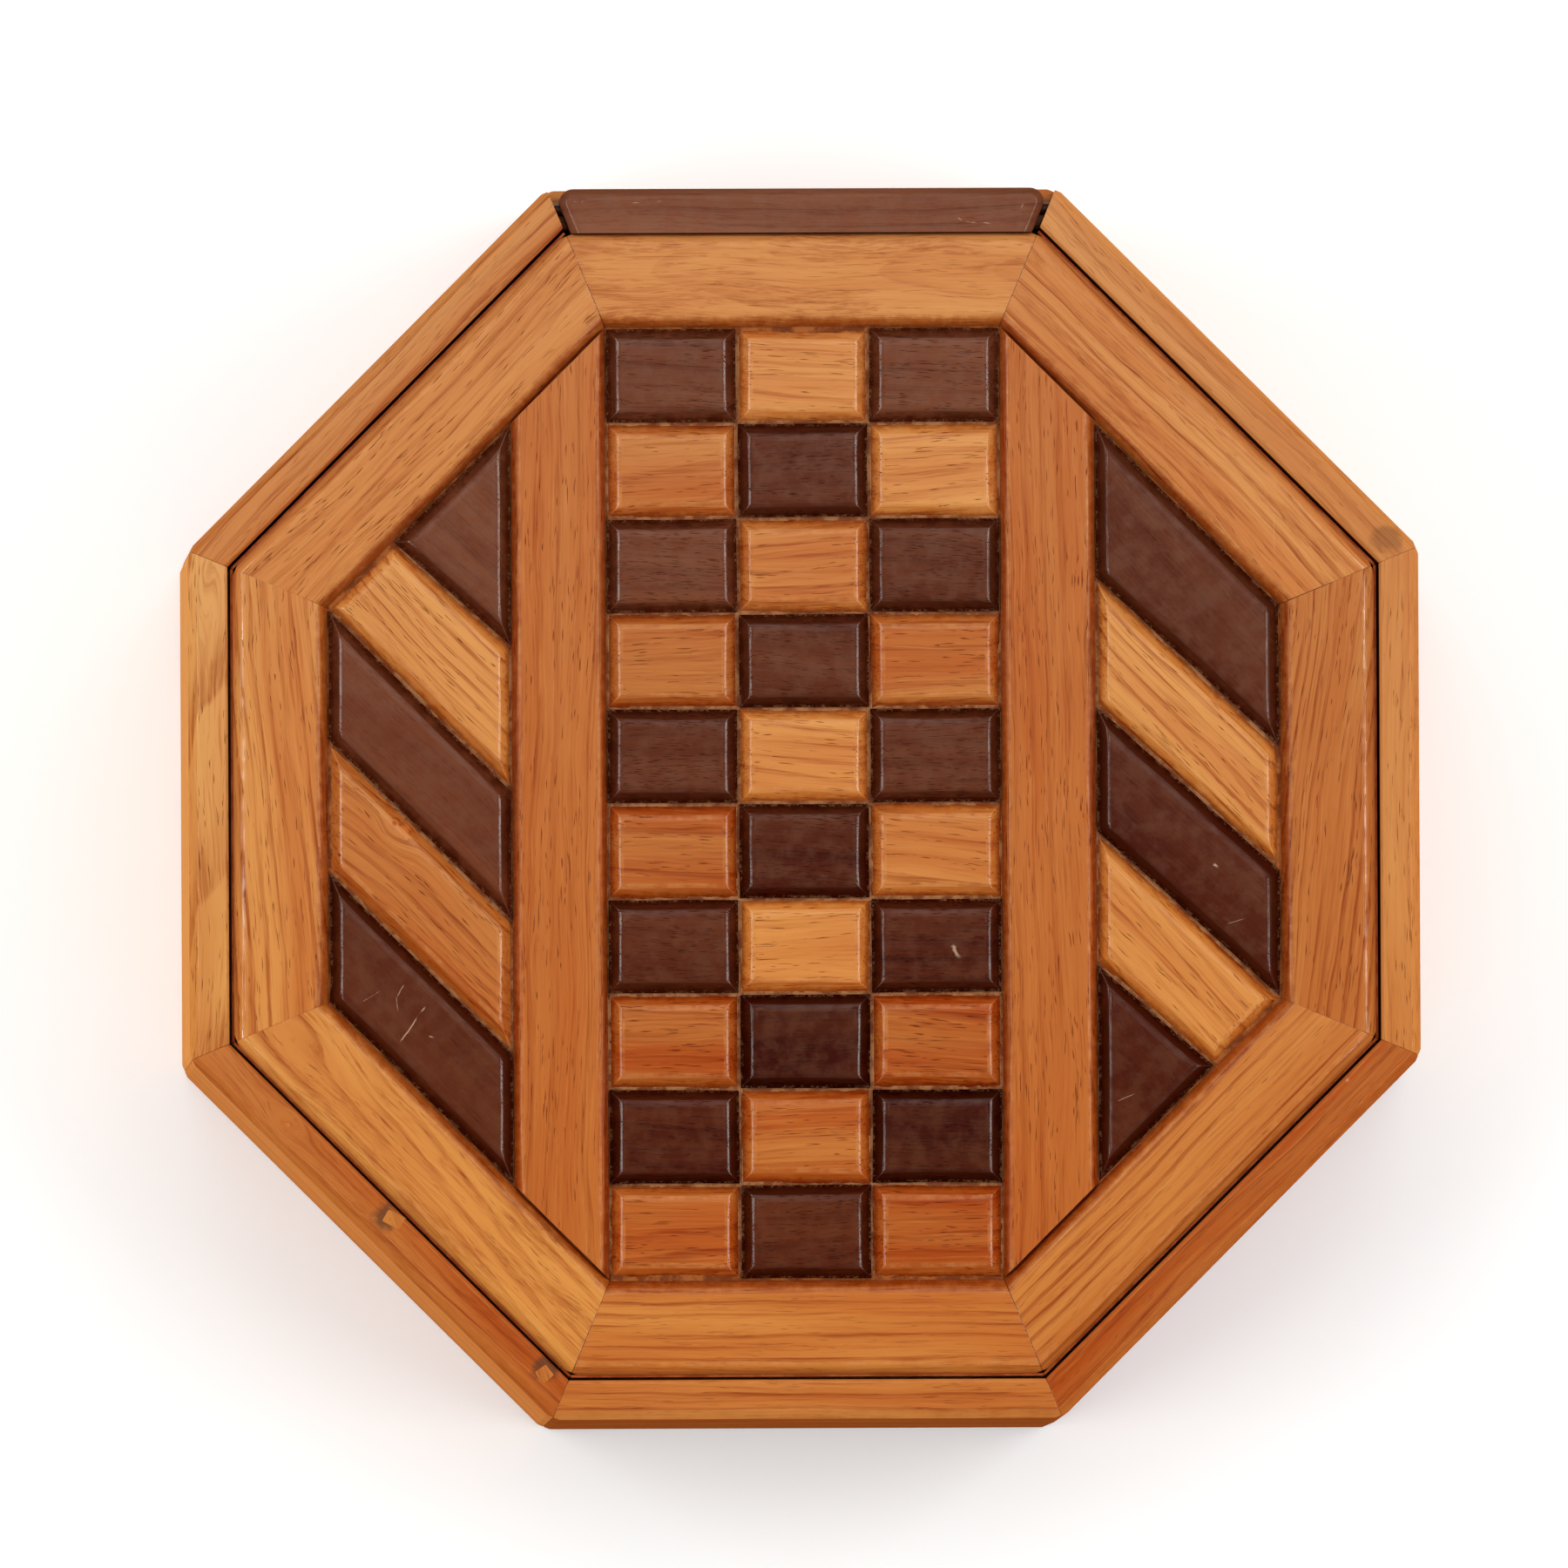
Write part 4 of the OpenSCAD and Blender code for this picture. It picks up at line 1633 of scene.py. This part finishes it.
    def lay_wax_and_gap_light(self) -> None:
        """Lay the wax beads of the checker, the side fields and the frame joint, and the bead of
        painted bounce light in the gap at the lid's edge.
        """
        groups = {
            "wax_checker": (JOINT_WAX, self.checker_ribbons()),
            "wax_left_field": (JOINT_WAX, self.field_ribbons(Hand.LEFT)),
            "wax_right_field": (JOINT_WAX, self.field_ribbons(Hand.RIGHT)),
            "wax_frame_joint": (FRAME_WAX, self.frame_ribbons()),
            "lid_gap_bounce_light": (GAP_BOUNCE_LIGHT, self.gap_light_ribbons()),
        }
        for number, (name, (finish, ribbons)) in enumerate(groups.items()):
            obj = bead_object(name, ribbons, self.WAX_SEED + number)
            obj.data.materials.append(finish.material(f"{name}_finish"))
            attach(obj, "lid")
            LOG.info("%s: %d beads", name, len(ribbons))

    @property
    def wax_level(self) -> float:
        """Height of the wax between tiles and strips, mm."""
        return self.light_top - self.bevel_drop - self.WAX_SINK

    def checker_ribbons(self) -> list[Ribbon]:
        """Beads between the tiles and along the stiles.

        Returns:
            The beads.
        """
        level = self.wax_level
        tile = 2 * self.stile_in / self.columns
        pitch = 2 * self.field_r / self.rows
        upright = [-self.stile_in + tile * k for k in range(self.columns + 1)]
        level_lines = [self.field_r - pitch * k for k in range(1, self.rows)]
        beads = [Ribbon((x, -self.field_r), (x, self.field_r), level) for x in upright]
        beads += [Ribbon((-self.stile_in, y), (self.stile_in, y), level) for y in level_lines]
        return beads

    def field_ribbons(self, hand: Hand) -> list[Ribbon]:
        """Beads between the slanting strips of one field and along its stile.

        Args:
            hand: The field.

        Returns:
            The beads.
        """
        slant = math.sqrt(2) * self.field_r
        near = self.stile_out
        ends = [((-near, near - slant), (-near, slant - near))]
        for k in range(1, self.strips):
            below = self._outer_y(hand, k, False) - self.CORNER
            above = self._outer_y(hand, k + 1, True) + self.CORNER
            ends.append(((-near, below), (max(-self.field_r, above - slant), above)))
        turn = -hand.value
        return [Ribbon(*[(x * turn, y * turn) for x, y in pair], self.wax_level)
                for pair in ends]

    @staticmethod
    def _outer_y(hand: Hand, k: int, top: bool) -> float:
        """Find one end of a strip, with the right field turned half round.

        Args:
            hand: The field of the strip.
            k: Its number, from 1.
            top: True for its upper end, False for its lower one.

        Returns:
            Y of that end, mm.
        """
        name = f"strip_{hand.label}_{k}"
        if hand is Hand.LEFT:
            return (high_corner(name) if top else low_corner(name)).y / MM
        return -(low_corner(name) if top else high_corner(name)).y / MM

    @staticmethod
    def _ring_ribbons(sides: Iterable[Side], rim: float, aside: float,
                      **sizes: float) -> list[Ribbon]:
        """Beads round the lid, one along each side.

        Args:
            sides: The sides that get a bead.
            rim: Inner radius of the octagon that they follow, mm.
            aside: How far outside it they lie, mm.
            **sizes: Level of the beads and their other sizes, mm.

        Returns:
            The beads.
        """
        half = rim * SIDE_RATIO
        beads = []
        for side in sides:
            middle = side.outward * (rim + aside)
            start, end = (middle + side.lengthways * half * sign for sign in (-1, 1))
            beads.append(Ribbon((start.x, start.y), (end.x, end.y), **sizes))
        return beads

    def frame_ribbons(self) -> list[Ribbon]:
        """Beads along the inner edge of the frame, where more wax has gathered."""
        level = self.light_top - self.bevel_drop + 0.10
        return self._ring_ribbons(Side, rim=self.field_r, aside=0.0, level=level, reach=0.8)

    def gap_light_ribbons(self) -> list[Ribbon]:
        """Thin bead on the outer face of the frame, a little under its top: painted bounce light in
        the gap round the lid.

        Returns:
            The beads, none at the back, where the rail is.
        """
        rim = high_corner("frame_right").x / MM
        sides = [side for side in Side if side is not Side.BACK]
        return self._ring_ribbons(sides, rim=rim, aside=0.12, level=self.light_top - 1.9,
                                  reach=0.2, swell=0.06)


@dataclass
class Plug:
    """Small repair plug let into the top of a wall.

    Attributes:
        name: Name of the piece.
        side: The wall that holds it.
        out: Distance of its middle from the middle of the box, mm.
        along: Place of its middle along the wall, mm.
        size: Length and width, mm.
        turn: Turn against the wall, degrees.
        depth: How far it is let in, mm.
        proud: How far it stands over the wall, mm.
        corner: Rounding of its upright edges, mm.
        rub: Rounding of its upper edges, mm.
    """

    name: str
    side: Side
    out: float
    along: float
    size: Point
    turn: float = 0.0
    depth: float = 3.0
    proud: float = 0.03
    corner: float = 0.12
    rub: float = 0.12

    HAND_CUT = (0.8, 1.08)  # least and largest share of its half sizes that a corner reaches

    @property
    def middle(self) -> Vector:
        """Middle of the plug seen from above, mm."""
        return self.side.outward * self.out + self.side.lengthways * self.along

    def build(self) -> bpy.types.Object:
        """Model the plug as a block with rubbed edges.

        Returns:
            The new object.
        """
        luck = random.Random(self.name)
        top = high_corner(f"wall_{self.side.label}").z / MM + self.proud
        turn = math.radians(self.side.value + 90 + self.turn)
        east = Vector((math.cos(turn), math.sin(turn), 0))
        north = Vector((-east.y, east.x, 0))
        mesh = bmesh.new()
        corners = []
        for i, j in ((-1, -1), (1, -1), (1, 1), (-1, 1)):
            reach = [half * sign * luck.uniform(*self.HAND_CUT)
                     for half, sign in zip((self.size[0] / 2, self.size[1] / 2), (i, j))]
            corners.append(self.middle + east * reach[0] + north * reach[1])
        low = [mesh.verts.new((c.x * MM, c.y * MM, (top - self.depth) * MM)) for c in corners]
        high = [mesh.verts.new((c.x * MM, c.y * MM, top * MM)) for c in corners]
        mesh.faces.new(reversed(low))
        mesh.faces.new(high)
        for i in range(4):
            j = (i + 1) % 4
            mesh.faces.new((low[i], low[j], high[j], high[i]))
        upright = [e for e in mesh.edges if abs(e.verts[0].co.z - e.verts[1].co.z) > MM]
        bmesh.ops.bevel(mesh, geom=upright, offset=self.corner * MM, segments=3, affect="EDGES")
        rim = [e for e in mesh.edges if min(v.co.z for v in e.verts) > (top - 0.01) * MM]
        bmesh.ops.bevel(mesh, geom=rim, offset=self.rub * MM, segments=2, affect="EDGES")
        return placed(self.name, settled(self.name, mesh))


@dataclass
class Case:
    """Case: base panel, eight walls, ledges, bolt guides, pins and two repair plugs.

    Attributes:
        work: Node groups for edges and unevenness.
        plugs: The repair plugs.
    """

    work: HandWork
    plugs: tuple[Plug, ...] = (
        Plug("repair_plug_middle", Side.FRONT_LEFT, 94.75, 0.2, (3.8, 2.6), 18.0),
        Plug("repair_plug_corner", Side.FRONT_LEFT, 95.3, 35.0, (2.8, 2.6), -10.0),
    )

    def build(self) -> None:
        """Dress the case and set its plugs."""
        self.dress_walls()
        self.dress_inside()
        self.set_plugs()

    def dress_walls(self) -> None:
        """Dress the eight mitred walls."""
        stains = tuple(Stain((plug.middle.x + aside[0], plug.middle.y + aside[1]))
                       for plug, aside in zip(self.plugs, ((-1.2, 0.5), (0.5, 0.7))))
        boards = {
            Side.BACK: dict(seed=121.0, red=0.5, year=2.6),
            Side.BACK_RIGHT: dict(seed=122.0, red=0.34, year=2.6, figure=0.7, pores=0.6, slope_highlight=0.2,
                                  stains=(Stain((94.4, 42.4), 3.2, 0.4),)),
            Side.RIGHT: dict(seed=123.0, red=0.35, year=3.0, figure=0.5, pith=(8.0, 30.0),
                             slope_highlight=0.2),
            Side.FRONT_RIGHT: dict(seed=124.0, red=0.86, deep=0.18, year=2.6, figure=0.6,
                                   slope_highlight=0.15, pores=0.5,
                                   marks=(Mark((86.5, -43.9), (87.9, -45.3), 0.5, 0.9),)),
            Side.FRONT: dict(seed=125.0, red=0.48, year=2.4, figure=0.7, upright_shade=0.65, slope_highlight=0.3,
                             pores=0.6),
            Side.FRONT_LEFT: dict(seed=126.0, red=0.70, deep=0.06, year=2.4, figure=0.7, upright_shade=-0.4,
                                  slope_highlight=0.1, pores=0.3, feather=0.4, wander=2.4, stains=stains,
                                  knots=(Knot((-83.8, -51.7), (5.0, 2.4), 3.0, 0.5),)),
            Side.LEFT: dict(seed=127.0, red=0.0, year=3.6, figure=0.9, pith=(4.0, 30.0), tilt=0.12,
                            wander=2.8, upright_shade=-0.4, waxed=0.3,
                            knots=(Knot((-96.8, 32.0), (8.0, 4.0), 3.4),
                                   Knot((-95.4, 38.0), (3.0, 1.6), 1.4))),
            Side.BACK_LEFT: dict(seed=128.0, red=0.50, deep=0.04, year=2.4, figure=0.9, pores=0.6),
        }
        for side, facts in boards.items():
            board = Board(grain=side.value + 90, slope=0.6, **facts)
            dress(f"wall_{side.label}", WALL_WOOD, WALL_EDGE, self.work, board)

    def dress_inside(self) -> None:
        """Dress what can be seen with the lid open."""
        base = Board(grain=90.0, seed=140.0, red=0.35, year=6.0, figure=0.5, pith=(8.0, 70.0))
        dress("base_panel", INNER_WOOD, INNER_EDGE, self.work, base)
        for side in (Side.RIGHT, Side.FRONT_RIGHT, Side.FRONT, Side.FRONT_LEFT, Side.LEFT):
            board = Board(grain=side.value + 90, seed=141.0 + side.value / 45, red=0.5, year=2.2)
            dress(f"ledge_{side.label}", INNER_WOOD, INNER_EDGE, self.work, board)
        guides = Board(grain=90.0, seed=152.0, red=0.55, year=2.0)
        dress("bolt_guides", INNER_WOOD, INNER_EDGE, self.work, guides)
        dress("hinge_pins", PIN_STEEL, PIN_EDGE, self.work)

    def set_plugs(self) -> None:
        """Model the repair plugs and let them ride on the case."""
        for number, plug in enumerate(self.plugs):
            obj = plug.build()
            board = Board(grain=plug.side.value + 60, seed=160.0 + number, red=0.35, deep=0.22)
            material = LIGHT_WOOD.material(f"{plug.name}_finish", board, plug.middle * MM)
            obj.data.materials.append(material)
            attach(obj, "case")
            LOG.info("%s: on wall_%s", plug.name, plug.side.label)


@dataclass
class Bolt:
    """Sliding tilt bolt.

    Attributes:
        work: Node groups for edges and unevenness.
    """

    work: HandWork

    def build(self) -> None:
        """Dress the bolt."""
        board = Board(grain=0.0, seed=170.0, red=0.3, year=2.2, figure=0.4)
        dress("tilt_bolt", DARK_WOOD, INNER_EDGE, self.work, board)


@dataclass(frozen=True)
class Softbox:
    """Soft studio light.

    Attributes:
        name: Name of the light.
        place: Where it hangs, m.
        size: Its two sides, m.
        power: Its power, W.
        tint: Its colour.
    """

    name: str
    place: tuple[float, float, float]
    size: Point
    power: float
    tint: Colour = (1.0, 1.0, 1.0)

    def hang(self) -> None:
        """Add the light, pointed at the box."""
        light = bpy.data.lights.new(self.name, "AREA")
        light.shape = "RECTANGLE"
        light.size, light.size_y = self.size
        light.energy = self.power
        light.color = self.tint
        obj = placed(self.name, light)
        obj.location = self.place
        obj.rotation_euler = (-Vector(self.place)).to_track_quat("-Z", "Y").to_euler()
        obj.visible_camera = False


@dataclass
class Studio:
    """Pale floor, soft lights and the camera.

    Attributes:
        camera_place: Place of the camera, m.
        camera_turn: Its turn about X, Y and Z, degrees.
        lens: Focal length, mm.
        film: Width of the film, mm.
        far_limit: How far the camera sees, m.
        floor_half: Half a side of the floor, m.
        floor_gap: How far the floor lies under the box, m.
        ambient: Strength of the light from all round.
        ambient_back: What the light from behind the box adds to it.
        lights: The softboxes.
    """

    camera_place: tuple[float, float, float] = (-0.3005, -0.3391, 10.0000)
    camera_turn: tuple[float, float, float] = (1.9802, -1.7035, -0.2829)
    lens: float = 1411.81
    film: float = 36.0
    far_limit: float = 20.0
    floor_half: float = 2.4
    floor_gap: float = 0.05 * MM
    ambient: float = 0.33
    ambient_back: float = 0.11
    lights: tuple[Softbox, ...] = (
        Softbox("key_softbox", (0.10, 0.95, 1.85), (2.2, 1.7), 15.0),
        Softbox("left_softbox", (-1.10, -0.05, 1.15), (1.5, 0.12), 10.4),
        Softbox("right_softbox", (1.10, 0.00, 1.15), (1.5, 0.12), 10.4),
        Softbox("left_fill", (-1.50, -0.20, 0.46), (1.4, 0.6), 4.6, (1.0, 0.88, 0.74)),
        Softbox("right_fill", (1.50, -0.20, 0.46), (1.4, 0.6), 4.6, (1.0, 0.88, 0.74)),
    )

    def build(self) -> None:
        """Set up the studio."""
        self.lay_floor()
        for softbox in self.lights:
            softbox.hang()
        self.light_room()
        self.place_camera()

    def lay_floor(self) -> None:
        """Lay the pale floor just under the box."""
        mesh = bmesh.new()
        bmesh.ops.create_grid(mesh, x_segments=8, y_segments=8, size=self.floor_half)
        floor = placed("floor", settled("floor", mesh))
        floor.location.z = -self.floor_gap
        floor.data.materials.append(BACKGROUND.material("floor_paper"))

    def light_room(self) -> None:
        """Give the room an even soft light."""
        world = bpy.data.worlds.new("room")
        graph = Graph(world)
        toward_back = graph.add("ShaderNodeTexCoord", None, None, "Generated").parts()[1]
        glow = toward_back.rise(0.0, 0.9) * self.ambient_back + self.ambient
        sky = graph.add("ShaderNodeBackground", None,
                        {"Color": (1.0, 1.0, 1.0), "Strength": glow})
        graph.add("ShaderNodeOutputWorld", None, {"Surface": sky}, None)
        bpy.context.scene.world = world
        bpy.context.scene.view_settings.view_transform = "Standard"

    def place_camera(self) -> None:
        """Look down on the lid from far above, a little from the left and the front."""
        data = bpy.data.cameras.new("camera")
        data.lens = self.lens
        data.sensor_width = self.film
        data.clip_end = self.far_limit
        camera = placed("camera", data)
        camera.location = self.camera_place
        camera.rotation_euler = Euler([math.radians(a) for a in self.camera_turn], "XYZ")
        bpy.context.scene.camera = camera


def main() -> None:
    """Build the studio and dress the box, one sub-assembly after the other."""
    logging.basicConfig(level=logging.INFO, format="%(name)s: %(message)s")
    work = HandWork()
    for assembly in (Studio(), Case(work), Lid(work), Bolt(work)):
        assembly.build()
        LOG.info("%s is done", type(assembly).__name__)


if __name__ == "__main__":
    main()
